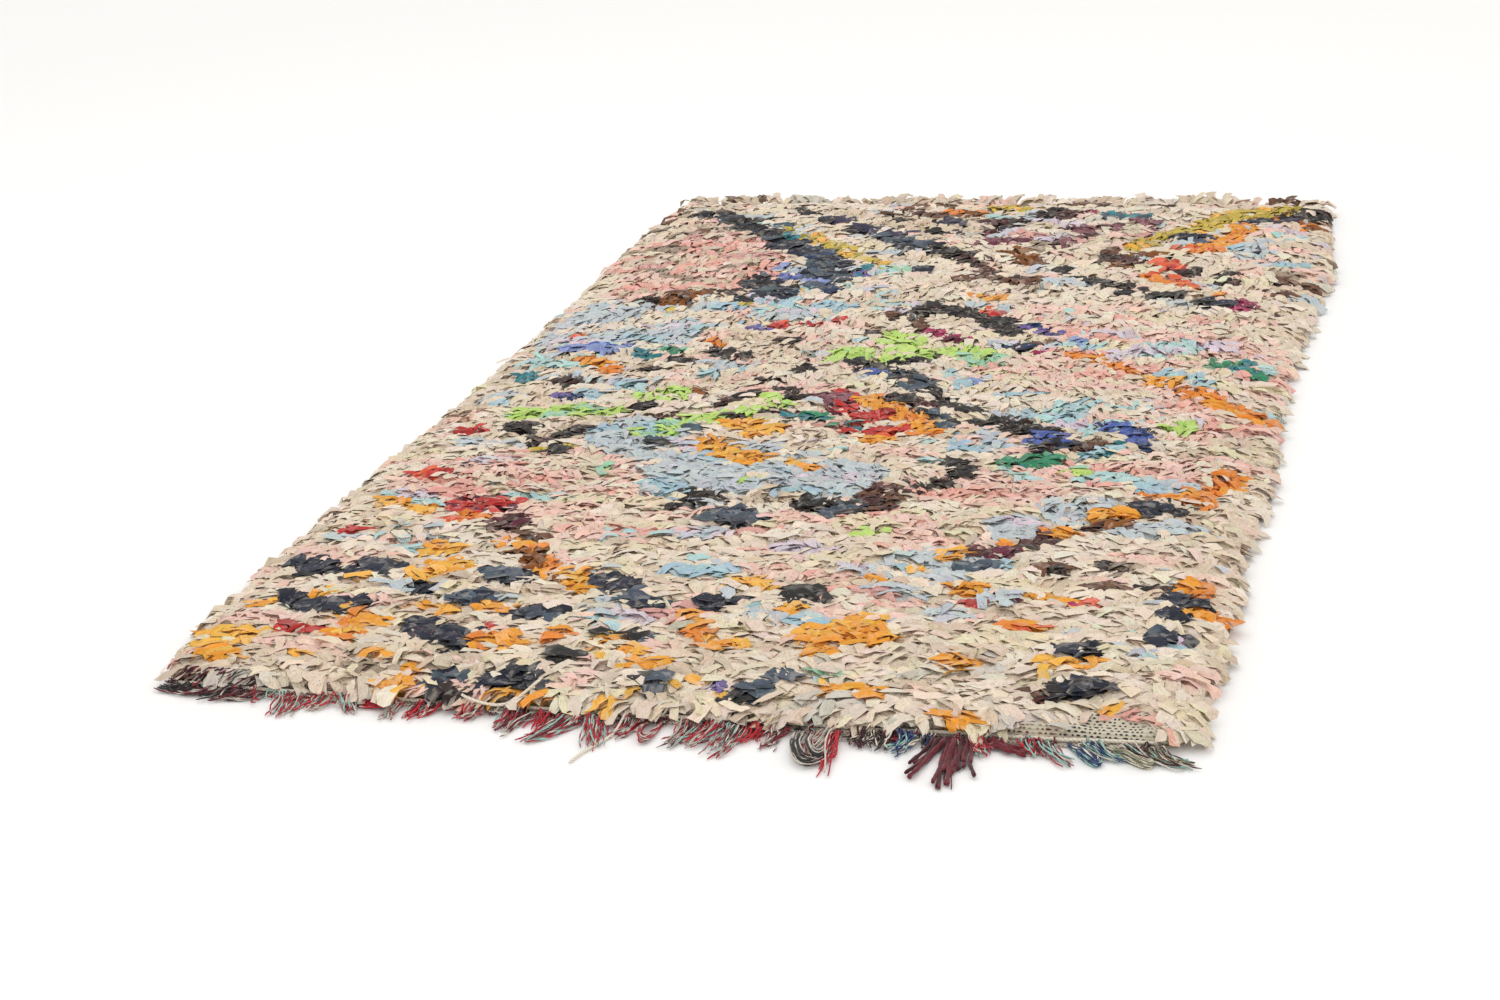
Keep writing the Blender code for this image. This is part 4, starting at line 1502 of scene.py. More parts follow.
    def _colour(
        self,
        mesh: bpy.types.Mesh,
        shade: np.ndarray,
        wide: np.ndarray,
        cut: Cut,
        chance: np.random.Generator,
    ) -> None:
        """Writes each strip's tint, its own two measures, and how near its edge a point is.

        Args:
            mesh: The piece's mesh.
            shade: The shade of each strip.
            wide: The strips' widths.
            cut: How this kind is torn.
            chance: The source of chance.
        """
        count = len(shade)
        colours = shade_colours()[shade]
        spread = listed(SHADES.values(), "spread")[shade]
        light = 1.0 + spread[:, None] * chance.normal(0.0, 1.0, (count, 1))
        warm = 1.0 + 0.03 * chance.normal(0.0, 1.0, (count, 3))
        colours = np.clip(colours * light * warm, 0.008, 0.94)
        tint = np.concatenate([colours, np.ones((count, 1))], axis=1)
        give(mesh, "tint", "FLOAT_COLOR", np.repeat(tint, 4 * cut.columns, axis=0))
        column = np.tile(np.linspace(-0.5, 0.5, cut.columns), (count, 4, 1)) * wide[:, None, None]
        row = np.tile(np.arange(4)[:, None] / 3 * cut.long, (count, 1, cut.columns))
        seed = np.broadcast_to(chance.uniform(0.0, 60.0, (count, 1, 1)), row.shape)
        give(mesh, "lie", "FLOAT_VECTOR", np.stack([column, row, seed], axis=3).reshape(-1, 3))
        edge = np.zeros((4, cut.columns))
        edge[:, 0] = edge[:, -1] = edge[-1, :] = 1.0
        give(mesh, "rim", "FLOAT", np.tile(edge.ravel(), count))


@dataclass(frozen=True)
class Packed:
    """A rounded part of the rug where the knots are packed closest."""

    middle: tuple[float, float]
    reach: tuple[float, float]


PACKED = (
    Packed(middle=(-0.20, -0.38), reach=(0.26, 0.16)),
    Packed(middle=(0.45, 0.12), reach=(0.30, 0.30)),
    Packed(middle=(-0.57, 0.31), reach=(0.18, 0.20)),
    Packed(middle=(-0.55, 0.80), reach=(0.20, 0.24)),
    Packed(middle=(0.00, -0.88), reach=(1.40, 0.34)),
)


@dataclass
class KnotBed:
    """The rows of knots under the strip ends, one lumpy ridge for each row."""

    outline: Outline
    top: PileTop
    chart: Chart
    wear: Wear
    foot: float = 0.0034
    ridge: float = 0.003
    packed: float = 0.003
    rough: float = 0.0014
    rows: int = 182
    columns: int = 120
    inset: float = 0.004
    half_width: float = 0.7
    seed: int = 8

    def build(self) -> bpy.types.Object:
        """Makes the bed as one closed slab.

        Returns:
            The piece.
        """
        chance = np.random.default_rng(self.seed)
        i, j = np.meshgrid(np.arange(self.columns + 1), np.arange(self.rows + 1))
        x, y = self.outline.place(i / self.columns, j / self.rows)
        x = x * (1 - self.inset / self.half_width)
        y = np.clip(y, self.outline.near(x) + self.inset, self.outline.far() - self.inset)
        height = self.top.knots(x, y) + self.ridge * (j % 2 - 0.5)
        for part in PACKED:
            away_x = (x - part.middle[0]) / part.reach[0]
            away_y = (y - part.middle[1]) / part.reach[1]
            height = height + self.packed * smooth(1.5 - np.hypot(away_x, away_y))
        height = height * self.wear.left_over(x, y)
        height = height + chance.normal(0.0, self.rough, x.shape)
        points = np.stack([x, y, np.maximum(height, self.foot + 0.001)], axis=2).reshape(-1, 3)
        grid = np.arange(len(points)).reshape(self.rows + 1, self.columns + 1)
        edge = border(grid)
        foot = points[edge].copy()
        foot[:, 2] = self.foot
        ring = len(points) + np.arange(len(edge))
        surface = squares(grid)
        skirt = np.stack([edge, ring, np.roll(ring, -1), np.roll(edge, -1)], axis=1)
        underside = ring[::-1][None, :]
        obj = joined_mesh("knot_bed", np.concatenate([points, foot]), [surface, skirt, underside])
        obj.data.shade_smooth()
        self._colour(obj.data, x, y, edge, chance)
        cut = Cut(1.0, 0.02, 0.03, 0.003, 0.002, proud=0.0, sheen=0.03, print_share=0.0)
        return finish_piece(obj, RagCloth("knot_cloth", cut).material(), "rag_cloth", "rag_field")

    def _colour(
        self,
        mesh: bpy.types.Mesh,
        x: np.ndarray,
        y: np.ndarray,
        edge: np.ndarray,
        chance: np.random.Generator,
    ) -> None:
        """Gives the bed the shades of the knots on it.

        Args:
            mesh: The bed's mesh.
            x: The points' places across the rug.
            y: The points' places along the rug.
            edge: The numbers of the points round the bed.
            chance: The source of chance.
        """
        colours = shade_colours()[self.chart.read(x, y, chance)]
        tint = np.concatenate([colours, np.ones((*x.shape, 1))], axis=2).reshape(-1, 4)
        give(mesh, "tint", "FLOAT_COLOR", np.concatenate([tint, tint[edge]]))
        points = np.zeros(len(mesh.vertices) * 3, np.float32)
        mesh.vertices.foreach_get("co", points)
        give(mesh, "lie", "FLOAT_VECTOR", points)
        give(mesh, "rim", "FLOAT", np.zeros(len(mesh.vertices)))


@dataclass
class GroundCloth:
    """The woven ground that the knots are tied on, which lies on the floor."""

    outline: Outline
    thick: float = 0.003
    columns: int = 36
    rows: int = 64

    def build(self) -> bpy.types.Object:
        """Makes the cloth as a thin sheet with thickness.

        Returns:
            The piece.
        """
        bpy.ops.mesh.primitive_grid_add(x_subdivisions=self.columns, y_subdivisions=self.rows, size=1.0)
        obj = bpy.context.object
        obj.name = "ground_cloth"
        mesh = obj.data
        points = np.zeros(len(mesh.vertices) * 3, np.float32)
        mesh.vertices.foreach_get("co", points)
        points = points.reshape(-1, 3).astype(float)
        x, y = self.outline.place(points[:, 0] + 0.5, points[:, 1] + 0.5)
        flat = np.stack([x, y, np.full(len(x), self.thick)], axis=1)
        mesh.vertices.foreach_set("co", flat.astype(np.float32).ravel())
        bpy.ops.object.modifier_add(type="SOLIDIFY")
        obj.modifiers[-1].thickness = self.thick
        obj.modifiers[-1].offset = -1.0
        bpy.ops.object.modifier_apply(modifier=obj.modifiers[-1].name)
        finish = WovenGround("ground_weave", "CDBFA4", "6A5648", 0.5)
        return finish_piece(obj, finish.material(), "rag_cloth", "rag_field")


@dataclass
class EndBand:
    """The flat-woven band that closes the near end: packed weft ribs, with dots of warp."""

    outline: Outline
    left: float = -0.700
    right: float = 0.652
    gap: float = 0.0003
    deep: float = 0.014
    high: float = 0.005
    groove: float = 0.0014
    rib_high: float = 0.0012
    ribs: int = 5
    stations: int = 180
    seed: int = 3

    def profile(self) -> np.ndarray:
        """The band's cross-section, with ribs on top.

        Returns:
            How far out and how high, all round.
        """
        steps = self.ribs * 4
        share = np.linspace(0.0, 1.0, steps + 1)
        wave = 0.5 - 0.5 * np.cos(share * self.ribs * 2 * math.pi)
        top = np.stack([share * self.deep, self.high - self.groove + self.rib_high * wave], axis=1)
        foot = np.array([[self.deep, 0.0004], [self.deep * 0.5, 0.0002], [0.0, 0.0004]])
        return np.concatenate([top, foot])

    def build(self) -> bpy.types.Object:
        """Makes the band by sweeping its cross-section along the near edge.

        Returns:
            The piece.
        """
        chance = np.random.default_rng(self.seed)
        profile = self.profile()
        x = np.linspace(self.left, self.right, self.stations)
        back = self.outline.near(x) - self.gap
        sway = np.convolve(chance.normal(0.0, 0.0010, self.stations + 8), np.ones(9) / 9, "valid")
        sides = len(profile)
        out = back[:, None] - profile[None, :, 0] - sway[:, None] * (profile[None, :, 0] / self.deep)
        lift = 1.0 + chance.normal(0.0, 0.05, (self.stations, sides))
        high = profile[None, :, 1] * lift
        points = np.stack([np.broadcast_to(x[:, None], out.shape), out, high], axis=2)
        grid = np.arange(self.stations * sides).reshape(self.stations, sides)
        turned = np.roll(grid, -1, axis=1)
        walls = np.stack([grid[:-1], grid[1:], turned[1:], turned[:-1]], axis=2).reshape(-1, 4)
        caps = np.stack([grid[0], grid[-1][::-1]])
        obj = joined_mesh("end_band", points.reshape(-1, 3), [walls, caps])
        obj.data.shade_smooth()
        finish = WovenGround("band_weave", "F2E8D6", "4A2328", 1.0)
        return finish_piece(obj, finish.material(), "cotton_cord", "warp_fringe")


@dataclass
class WornPatch:
    """The woven ground that shows where the pile is worn short, with dots of warp, beside the near edge."""

    outline: Outline
    top: PileTop
    wear: Wear
    left: float = 0.395
    right: float = 0.656
    narrow: float = 0.010
    deep: float = 0.044
    low: float = 0.007
    rise: float = 0.0036
    lap: float = 0.001
    fold: float = 0.006
    rough: float = 0.0005
    thick: float = 0.0015
    columns: int = 84
    rows: int = 14
    seed: int = 23

    def build(self) -> bpy.types.Object:
        """Lays a small sheet over the edge of the knots.

        Returns:
            The piece.
        """
        chance = np.random.default_rng(self.seed)
        stations = np.linspace(self.left, self.right, self.columns)
        x, along = np.meshgrid(stations, np.linspace(0.0, 1.0, self.rows))
        worn = smooth(1.9 - np.abs(x - self.wear.middle) / self.wear.half)
        out = -self.lap + (self.narrow + (self.deep - self.narrow) * worn) * along
        y = self.outline.near(x) + out
        knots = self.top.knots(x, y) * self.wear.left_over(x, y) + self.rise
        climb = smooth((out + self.lap) / self.fold)
        z = self.low + (knots - self.low) * climb + chance.normal(0.0, self.rough, x.shape)
        upper = np.stack([x, y, z], axis=2).reshape(-1, 3)
        lower = upper - np.array([0.0, 0.0, self.thick])
        grid = np.arange(x.size).reshape(x.shape)
        surface = squares(grid)
        edge = border(grid)
        following = np.roll(edge, -1)
        skirt = np.stack([edge, edge + x.size, following + x.size, following], axis=1)
        points = np.concatenate([upper, lower])
        obj = joined_mesh("worn_patch", points, [surface, surface[:, ::-1] + x.size, skirt])
        obj.data.shade_smooth()
        finish = WovenGround(
            name="patch_weave",
            weft="E2DBC4",
            warp="6B3A34",
            dots=1.0,
            rib=0.0064,
            dot=0.0080,
            least=0.30,
            other="2B3346",
            uneven=2.2,
        )
        return finish_piece(obj, finish.material(), "rag_cloth", "rag_field")


@dataclass(frozen=True)
class Strand:
    """One yarn: the places along it, its radius, the colours of its two plies, and how tightly it twists."""

    path: np.ndarray
    radius: float
    plies: tuple[str, str]
    twist: float
    seed: float


YARNS = {
    "maroon": "6A1D29",
    "wine": "48161F",
    "red": "B01F33",
    "scarlet": "C81E2E",
    "teal": "9CC6BC",
    "grey": "BAB3A8",
    "silver": "DAD0C4",
    "navy": "2C4072",
    "black": "2B272A",
    "olive": "8A8A6A",
    "thread": "E6DCCA",
}


@dataclass
class YarnWork:
    """Makes twisted yarns as joined tubes."""

    sides: int = 6
    lobe: float = 0.16
    tip: float = 0.6

    def tubes(self, name: str, strands: list[Strand]) -> bpy.types.Object:
        """Joins yarns into one piece.

        Args:
            name: The piece's name.
            strands: The yarns.

        Returns:
            The piece, without its finish.
        """
        points, walls, caps, firsts, seconds, winds = [], [], [], [], [], []
        cap_winds = []
        start = 0
        for strand in strands:
            ring, wind = self._tube(strand)
            count = len(ring)
            points.append(ring.reshape(-1, 3))
            grid = start + np.arange(count * self.sides).reshape(count, self.sides)
            turned = np.roll(grid, -1, axis=1)
            walls.append(np.stack([grid[:-1], grid[1:], turned[1:], turned[:-1]], axis=2).reshape(-1, 4))
            caps.append(np.stack([grid[0], grid[-1][::-1]]))
            around = np.arange(self.sides) / self.sides
            along = np.broadcast_to(wind[:-1, None], (count - 1, self.sides))
            ahead = np.broadcast_to(wind[1:, None], (count - 1, self.sides))
            here = np.broadcast_to(around[None, :], (count - 1, self.sides))
            step = 1.0 / self.sides
            seed = np.full((count - 1, self.sides), strand.seed)
            corners = ((here, along), (here, ahead), (here + step, ahead), (here + step, along))
            wound = np.stack([np.stack([turns, far, seed], axis=2) for turns, far in corners], axis=2)
            winds.append(wound.reshape(-1, 3))
            for end, order in ((0, around), (-1, around[::-1])):
                level = np.full(self.sides, wind[end])
                cap_winds.append(np.stack([order, level, np.full(self.sides, strand.seed)], axis=1))
            for store, ply in ((firsts, strand.plies[0]), (seconds, strand.plies[1])):
                colour = np.append(linear(YARNS[ply]), 1.0)
                store.append(np.broadcast_to(colour, (count * self.sides, 4)))
            start += count * self.sides
        obj = joined_mesh(name, np.concatenate(points), [np.concatenate(walls), np.concatenate(caps)])
        obj.data.shade_smooth()
        give(obj.data, "ply_a", "FLOAT_COLOR", np.concatenate(firsts))
        give(obj.data, "ply_b", "FLOAT_COLOR", np.concatenate(seconds))
        give(obj.data, "wind", "FLOAT_VECTOR", np.concatenate(winds + cap_winds), "CORNER")
        return obj

    def _tube(self, strand: Strand) -> tuple[np.ndarray, np.ndarray]:
        """Rings round one yarn's path.

        Args:
            strand: The yarn.

        Returns:
            The rings' points, and how far the plies have wound at each ring, in turns.
        """
        path = strand.path
        ahead = np.gradient(path, axis=0)
        ahead /= np.linalg.norm(ahead, axis=1, keepdims=True)
        side = np.cross(ahead, [0.0, 0.0, 1.0])
        side /= np.maximum(np.linalg.norm(side, axis=1, keepdims=True), 1e-9)
        over = np.cross(side, ahead)
        lengths = np.concatenate([[0.0], np.cumsum(np.linalg.norm(np.diff(path, axis=0), axis=1))])
        wind = lengths / strand.twist
        angle = 2 * math.pi * np.arange(self.sides) / self.sides
        lobes = 1.0 - self.lobe + self.lobe * np.cos(2 * (angle[None, :] + 2 * math.pi * wind[:, None]))
        radius = strand.radius * lobes
        taper = np.ones(len(path))
        taper[-1] = self.tip
        radius = radius * taper[:, None]
        ring = (
            path[:, None, :]
            + side[:, None, :] * (radius * np.cos(angle))[..., None]
            + over[:, None, :] * (radius * np.sin(angle))[..., None]
        )
        return ring, wind


class Lie(Enum):
    """How a bunch of warp ends lies: straight, in curls, or turned back in a loop."""

    STRAIGHT = 0.0022
    CURLY = 0.0036
    LOOP = 0.0016


@dataclass(frozen=True)
class Bunch:
    """Warp ends that hang together: where they leave the band, and where their tips gather on the floor."""

    start: float
    end: float
    tip: tuple[float, float]
    yarns: int
    plies: str
    lie: Lie = Lie.STRAIGHT
    thick: float = 0.0013
    back: float = 0.0


BUNCHES = (
    Bunch(-0.690, -0.640, (-0.718, -1.256), 8, "black/black wine/black"),
    Bunch(-0.668, -0.602, (-0.708, -1.264), 12, "black/black wine/black maroon/grey"),
    Bunch(-0.680, -0.610, (-0.700, -1.236), 20, "wine/maroon wine/black maroon/grey", Lie.CURLY, back=0.020),
    Bunch(-0.630, -0.560, (-0.650, -1.252), 18, "maroon/grey wine/maroon black/grey", Lie.CURLY, back=0.020),
    Bunch(-0.614, -0.548, (-0.622, -1.285), 14, "maroon/grey wine/grey maroon/silver black/grey"),
    Bunch(-0.530, -0.488, (-0.506, -1.320), 14, "red/teal red/silver scarlet/grey"),
    Bunch(-0.482, -0.446, (-0.478, -1.300), 11, "red/grey scarlet/silver"),
    Bunch(-0.446, -0.418, (-0.412, -1.302), 10, "teal/red silver/red"),
    Bunch(-0.396, -0.348, (-0.406, -1.276), 15, "scarlet/scarlet red/scarlet scarlet/grey"),
    Bunch(-0.368, -0.350, (-0.359, -1.312), 6, "grey/silver grey/red"),
    Bunch(-0.334, -0.294, (-0.322, -1.306), 14, "scarlet/scarlet red/maroon scarlet/silver"),
    Bunch(-0.264, -0.230, (-0.254, -1.298), 12, "maroon/red red/grey scarlet/silver"),
    Bunch(-0.208, -0.160, (-0.192, -1.326), 16, "red/grey maroon/silver red/teal"),
    Bunch(-0.160, -0.136, (-0.148, -1.308), 8, "scarlet/red scarlet/scarlet"),
    Bunch(-0.124, -0.086, (-0.146, -1.343), 15, "red/teal red/grey maroon/silver"),
    Bunch(-0.092, -0.058, (-0.052, -1.352), 14, "red/teal scarlet/silver"),
    Bunch(-0.038, -0.006, (-0.036, -1.320), 12, "red/grey maroon/silver"),
    Bunch(-0.010, 0.014, (0.003, -1.334), 5, "grey/red silver/red", Lie.LOOP),
    Bunch(0.040, 0.100, (0.050, -1.335), 24, "red/grey scarlet/silver teal/red maroon/grey"),
    Bunch(0.098, 0.134, (0.101, -1.356), 15, "teal/red grey/red silver/maroon"),
    Bunch(0.134, 0.156, (0.136, -1.312), 9, "scarlet/scarlet scarlet/red"),
    Bunch(0.156, 0.184, (0.163, -1.326), 10, "red/grey maroon/silver"),
    Bunch(0.188, 0.250, (0.226, -1.366), 14, "black/silver black/grey grey/silver", Lie.LOOP),
    Bunch(0.206, 0.244, (0.234, -1.350), 8, "grey/red silver/maroon black/grey", Lie.LOOP),
    Bunch(0.226, 0.246, (0.206, -1.334), 7, "red/grey grey/silver"),
    Bunch(0.236, 0.252, (0.252, -1.384), 9, "scarlet/scarlet scarlet/silver scarlet/red"),
    Bunch(0.266, 0.294, (0.277, -1.304), 16, "black/thread wine/thread black/maroon", Lie.CURLY),
    Bunch(0.288, 0.314, (0.308, -1.311), 12, "black/thread black/maroon wine/thread", Lie.CURLY),
    Bunch(0.314, 0.328, (0.321, -1.288), 5, "red/maroon"),
    Bunch(0.328, 0.352, (0.330, -1.318), 16, "navy/thread navy/navy navy/teal", Lie.CURLY),
    Bunch(0.348, 0.366, (0.370, -1.300), 8, "black/silver black/navy", Lie.CURLY),
    Bunch(0.370, 0.388, (0.356, -1.376), 4, "maroon/maroon maroon/wine", Lie.STRAIGHT, 0.0030),
    Bunch(0.384, 0.408, (0.402, -1.392), 6, "maroon/maroon maroon/wine", Lie.STRAIGHT, 0.0030),
    Bunch(0.396, 0.400, (0.410, -1.428), 1, "maroon/maroon", Lie.STRAIGHT, 0.0012),
    Bunch(0.402, 0.424, (0.420, -1.362), 4, "maroon/wine maroon/maroon", Lie.STRAIGHT, 0.0030),
    Bunch(0.412, 0.430, (0.444, -1.310), 8, "red/silver scarlet/teal", Lie.CURLY),
    Bunch(0.426, 0.456, (0.482, -1.296), 5, "maroon/maroon maroon/wine", Lie.STRAIGHT, 0.0030),
    Bunch(0.472, 0.498, (0.506, -1.294), 12, "scarlet/teal red/maroon"),
    Bunch(0.494, 0.516, (0.549, -1.314), 10, "red/teal maroon/silver"),
    Bunch(0.534, 0.560, (0.580, -1.312), 16, "navy/teal navy/thread navy/navy", Lie.LOOP),
    Bunch(0.552, 0.578, (0.609, -1.297), 12, "navy/teal navy/navy teal/silver"),
    Bunch(0.578, 0.618, (0.640, -1.308), 16, "olive/black grey/thread olive/thread", Lie.LOOP),
    Bunch(0.602, 0.650, (0.690, -1.303), 20, "teal/maroon wine/silver teal/olive maroon/black"),
)


@dataclass
class WarpFringe:
    """The warp ends beyond the woven band, lying on the floor in bunches."""

    outline: Outline
    band: EndBand
    steps: int = 14
    more: float = 1.7
    more_ropes: float = 1.6
    rope: float = 0.0025
    strays: int = 60
    stray_start: float = 0.03
    stray_margin: float = 0.04
    stray_y: float = -1.262
    gather: float = 0.60
    over_pile: float = 0.023
    tucked: float = 0.003
    spread: float = 0.005
    reaches: tuple[float, float] = (0.62, 1.05)
    plain: float = 0.55
    plain_first: float = 0.32
    layers: int = 7
    rope_layers: int = 2
    seed: int = 15

    def build(self) -> list[bpy.types.Object]:
        """Makes the thin yarns and the thick ones.

        Returns:
            The two pieces.
        """
        chance = np.random.default_rng(self.seed)
        thin, thick = [], []
        for bunch in (*BUNCHES, *self._stray_ends(chance)):
            kind = thick if bunch.thick > self.rope else thin
            kind.extend(self._bunch(bunch, chance))
        pieces = []
        for name, strands, sides in (("fringe_yarns", thin, 5), ("fringe_ropes", thick, 8)):
            obj = YarnWork(sides).tubes(name, strands)
            pieces.append(finish_piece(obj, Yarn(f"{name}_wool").material(), "warp_yarn", "warp_fringe"))
        return pieces

    def _stray_ends(self, chance: np.random.Generator) -> list[Bunch]:
        """Short single ends all along the band, between the bunches.

        Args:
            chance: The source of chance.

        Returns:
            A small bunch for each.
        """
        plies = ("red/grey", "maroon/silver", "red/teal", "wine/black", "maroon/grey", "scarlet/silver")
        short = []
        wide = self.band.right - self.band.left - self.stray_margin
        for number in range(self.strays):
            x = self.band.left + self.stray_start + (number + chance.random()) / self.strays * wide
            tip_x = x + chance.normal(-0.008, 0.012)
            tip_y = self.stray_y - 0.010 * chance.random() - 0.02 * chance.random()
            ply = plies[int(chance.integers(len(plies)))]
            short.append(Bunch(x - 0.003, x + 0.003, (tip_x, tip_y), 2, ply, Lie.CURLY))
        return short

    def _bunch(self, bunch: Bunch, chance: np.random.Generator) -> list[Strand]:
        """Makes one bunch.

        Args:
            bunch: Its sizes.
            chance: The source of chance.

        Returns:
            Its yarns.
        """
        pairs = [tuple(pair.split("/")) for pair in bunch.plies.split()]
        strands = []
        count = round(bunch.yarns * (self.more if bunch.thick < self.rope else self.more_ropes))
        for number in range(count):
            share = (number + 0.5) / count + chance.normal(0.0, 0.04)
            radius = bunch.thick * chance.uniform(0.85, 1.15)
            path = self._path(share, bunch, radius, chance)
            first, second = pairs[int(chance.integers(len(pairs)))]
            plain = chance.random()
            if plain < self.plain:
                first = second = first if plain < self.plain_first else second
            twist = radius * chance.uniform(14.0, 26.0)
            strands.append(Strand(path, radius, (first, second), twist, float(chance.uniform(0, 50))))
        return strands

    def _path(self, share: float, bunch: Bunch, radius: float, chance: np.random.Generator) -> np.ndarray:
        """The places along one warp end, from inside the band to its tip on the floor.

        Args:
            share: Its place in the bunch, 0 to 1.
            bunch: The bunch that it is in.
            radius: The yarn's radius.
            chance: The source of chance.

        Returns:
            The places, from root to tip.
        """
        is_rope = bunch.thick > self.rope
        steps = self.steps * (2 if bunch.lie is Lie.LOOP or is_rope else 1)
        along = np.linspace(0.0, 1.0, steps)
        wide = bunch.end - bunch.start
        middle = (bunch.start + bunch.end) / 2
        root_x = bunch.start + share * wide
        front = float(self.outline.near(np.array(root_x))) - self.band.gap - self.band.deep
        root = np.array([root_x, front + self.tucked + bunch.back])
        tip = np.array(bunch.tip) + np.array([(root_x - middle) * self.gather, 0.0])
        tip = root + (tip + chance.normal(0.0, self.spread, 2) - root) * chance.uniform(*self.reaches)
        long = float(np.linalg.norm(tip - root))
        bend = root + np.array([0.15 * (tip[0] - root[0]), -0.45 * long])
        away = along[:, None]
        line = (1 - away) ** 2 * root + 2 * away * (1 - away) * bend + away**2 * tip
        aside = np.array([-(tip - root)[1], (tip - root)[0]]) / long
        if bunch.lie is Lie.LOOP:
            size = 0.56 + 0.44 * float(np.clip(share, 0.0, 1.0))
            round_x = middle - 0.5 * wide * size * np.cos(away * math.pi)
            down = np.sin(away * math.pi) ** 0.8 * (0.35 + 0.65 * size)
            lean = np.array([bunch.tip[0] - middle, bunch.tip[1] - root[1]])
            line = np.hstack([round_x + lean[0] * down, root[1] + lean[1] * down])
        phase = chance.uniform(0.0, 2 * math.pi, 3)
        waves = np.sin(along * chance.uniform(4.0, 7.0) + phase[0])
        waves = waves + 0.4 * np.sin(along * chance.uniform(8.0, 12.0) + phase[1])
        line = line + aside * (waves * bunch.lie.value * smooth(along * 3))[:, None]
        line[:, 1] = np.minimum(line[:, 1], root[1])
        layer = float(chance.integers(0, self.rope_layers if is_rope else self.layers))
        rest = radius * (1.0 + 1.8 * layer * (1.0 - 0.80 * smooth(along * 1.1)))
        start = chance.uniform(0.0018, 0.0045) + (self.over_pile if bunch.back else 0.0)
        height = start + (rest - start) * smooth(along * (1.1 if bunch.back else 4.0))
        height = height + 0.5 * bunch.lie.value * (1.0 + np.sin(along * 9.0 + phase[2])) * smooth(along * 4)
        return np.column_stack([line, np.maximum(height, radius * 1.03)])


@dataclass
class EdgeCord:
    """The thick twisted cotton weft on the band, and the loose cotton threads beside it."""

    outline: Outline
    band: EndBand
    radius: float = 0.003
    inset: float = 0.006
    step: float = 0.030
    sway: float = 0.0016
    turn: float = 0.9
    fine: float = 0.0035

    def build(self) -> list[bpy.types.Object]:
        """Makes the cord and the threads.

        Returns:
            The pieces.
        """
        start, end = self.band.left + self.inset, self.band.right - self.inset
        count = round((end - start) / self.fine)
        x = np.linspace(start, end, count)
        index = (x - start) / self.step
        middle = self.outline.near(x) - self.band.gap - self.band.deep / 2
        y = middle + self.sway * np.sin(index * self.turn)
        z = np.full(count, self.band.high + self.band.gap + self.radius * 0.92)
        cord = Strand(np.stack([x, y, z], axis=1), self.radius, ("thread", "thread"), 0.011, 1.0)
        obj = YarnWork(10, 0.14).tubes("edge_cord_cotton", [cord])
        cotton = Yarn("cotton_twist", 0.1).material()
        pieces = [finish_piece(obj, cotton, "cotton_cord", "edge_cord")]
        loose = YarnWork(7, 0.10).tubes("loose_threads", [self._loop(), self._thread()])
        pieces.append(finish_piece(loose, cotton, "cotton_cord"))
        return pieces

    def _loop(self) -> Strand:
        """A thread end that stands out of the pile in a loop over the fringe.

        Returns:
            The thread.
        """
        share = np.linspace(0.0, 1.0, 30)
        x = -0.262 + 0.100 * share + 0.010 * np.sin(share * 3.0)
        y = -1.272 - 0.020 * np.sin(share * math.pi) ** 0.8 + 0.036 * share
        z = 0.026 - 0.010 * np.sin(share * math.pi) + 0.014 * smooth((share - 0.4) / 0.6)
        return Strand(np.stack([x, y, z], axis=1), 0.0022, ("thread", "thread"), 0.012, 4.0)

    def _thread(self) -> Strand:
        """A thread end that lies straight out on the floor.

        Returns:
            The thread.
        """
        share = np.linspace(0.0, 1.0, 26)
        x = -0.036 - 0.030 * share + 0.006 * np.sin(share * 5.0)
        y = -1.262 - 0.130 * share
        z = 0.0024 + 0.012 * (1.0 - smooth(share * 2.2))
        return Strand(np.stack([x, y, z], axis=1), 0.0021, ("thread", "thread"), 0.012, 7.0)


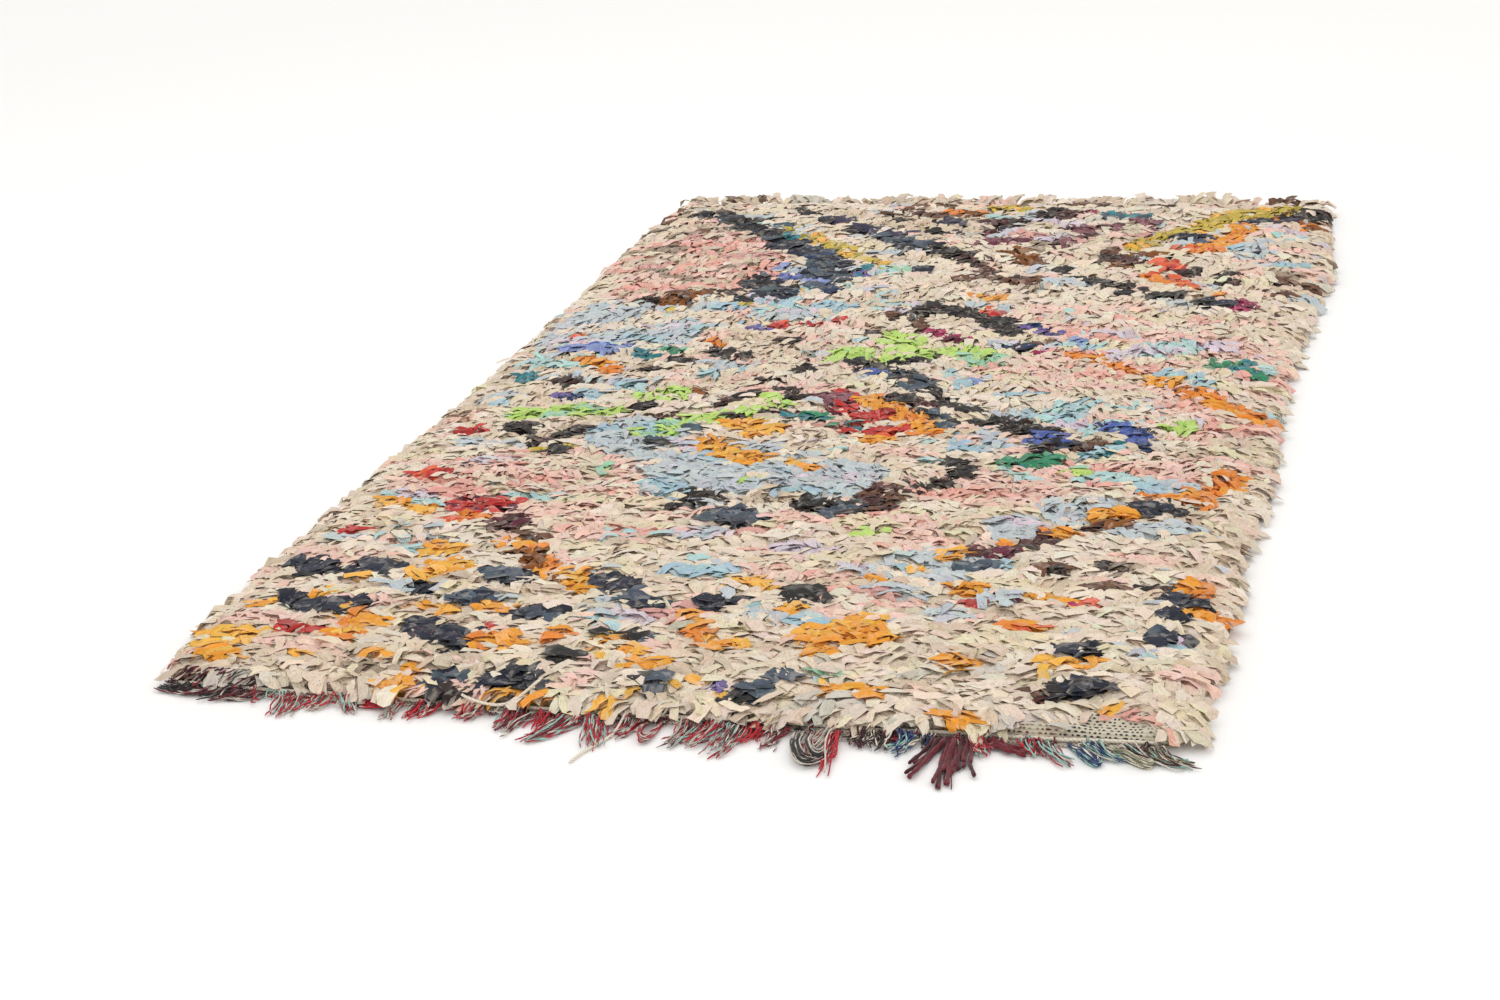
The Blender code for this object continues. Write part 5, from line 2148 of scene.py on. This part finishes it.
@dataclass
class Studio:
    """A pale floor, soft light and the camera."""

    view: Viewpoint
    floor_size: float = 60.0

    def build(self) -> None:
        """Adds the floor, the lights and the camera."""
        bpy.ops.mesh.primitive_plane_add(size=self.floor_size, location=(0.0, 0.0, -0.0006))
        floor = bpy.context.object
        floor.name = "floor"
        graph = Graph("floor_paint")
        grain = graph.noise(graph.add("ShaderNodeTexCoord", {}, {}, "Object"), 40.0)
        tone = graph.blend(grain, (0.90, 0.90, 0.90, 1.0), (0.93, 0.93, 0.93, 1.0))
        material = graph.dress(tone, 0.8, graph.bump(grain, 0.0002, 0.1), 0.0)
        floor.data.materials.append(material)
        self._light("sky_panel", (-1.0, 0.6, 3.8), size=3.2, watts=21.0, colour=(1.0, 0.985, 0.96))
        self._light("side_panel", (1.8, -3.4, 2.8), size=2.6, watts=12.0, colour=(1.0, 0.98, 0.95))
        world = bpy.data.worlds.new("studio")
        world.use_nodes = True
        world.node_tree.nodes["Background"].inputs["Color"].default_value = (1.0, 0.985, 0.965, 1.0)
        world.node_tree.nodes["Background"].inputs["Strength"].default_value = 1.04
        bpy.context.scene.world = world
        bpy.context.scene.view_settings.view_transform = "Standard"
        self._camera()

    def _light(
        self, name: str, place: tuple[float, float, float], size: float, watts: float, colour: tuple
    ) -> None:
        """Adds a soft square light that looks at the rug's middle.

        Args:
            name: Its name.
            place: Where it hangs.
            size: The length of its sides.
            watts: Its power.
            colour: Its colour.
        """
        data = bpy.data.lights.new(name, "AREA")
        data.size = size
        data.energy = watts
        data.color = colour
        lamp = bpy.data.objects.new(name, data)
        bpy.context.scene.collection.objects.link(lamp)
        lamp.location = place
        lamp.rotation_euler = (-Vector(place)).to_track_quat("-Z", "Y").to_euler()

    def _camera(self) -> None:
        """Puts the camera at the photograph's viewpoint."""
        data = bpy.data.cameras.new("camera")
        data.lens = self.view.lens
        data.sensor_width = self.view.sensor
        data.clip_end = 100.0
        camera = bpy.data.objects.new("camera", data)
        right, up, forward = self.view.axes()
        turn = Matrix((right, up, -forward)).transposed().to_4x4()
        camera.matrix_world = Matrix.Translation(self.view.place) @ turn
        bpy.context.scene.collection.objects.link(camera)
        bpy.context.scene.camera = camera


def main() -> None:
    """Builds the rug's looks in order."""
    logging.basicConfig(level=logging.INFO, format="%(message)s")
    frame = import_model()
    LOG.info("frame loaded, with %d nodes", len(frame["nodes"]))
    bpy.ops.object.select_all(action="DESELECT")
    outline = Outline()
    view = Viewpoint()
    Studio(view).build()
    top = PileTop(outline)
    chart = Chart(view)
    ground = GroundCloth(outline).build()
    wear = Wear(outline)
    pieces = [KnotBed(outline, top, chart, wear).build()]
    pieces += RagPile(outline, top, chart, wear).build()
    pieces.append(WornPatch(outline, top, wear).build())
    band = EndBand(outline)
    pieces.append(band.build())
    pieces += WarpFringe(outline, band).build()
    pieces += EdgeCord(outline, band).build()
    meshes = [piece.data for piece in [ground, *pieces]]
    LOG.info("triangles in all: %d", sum(len(mesh.loops) - 2 * len(mesh.polygons) for mesh in meshes))


if __name__ == "__main__":
    main()
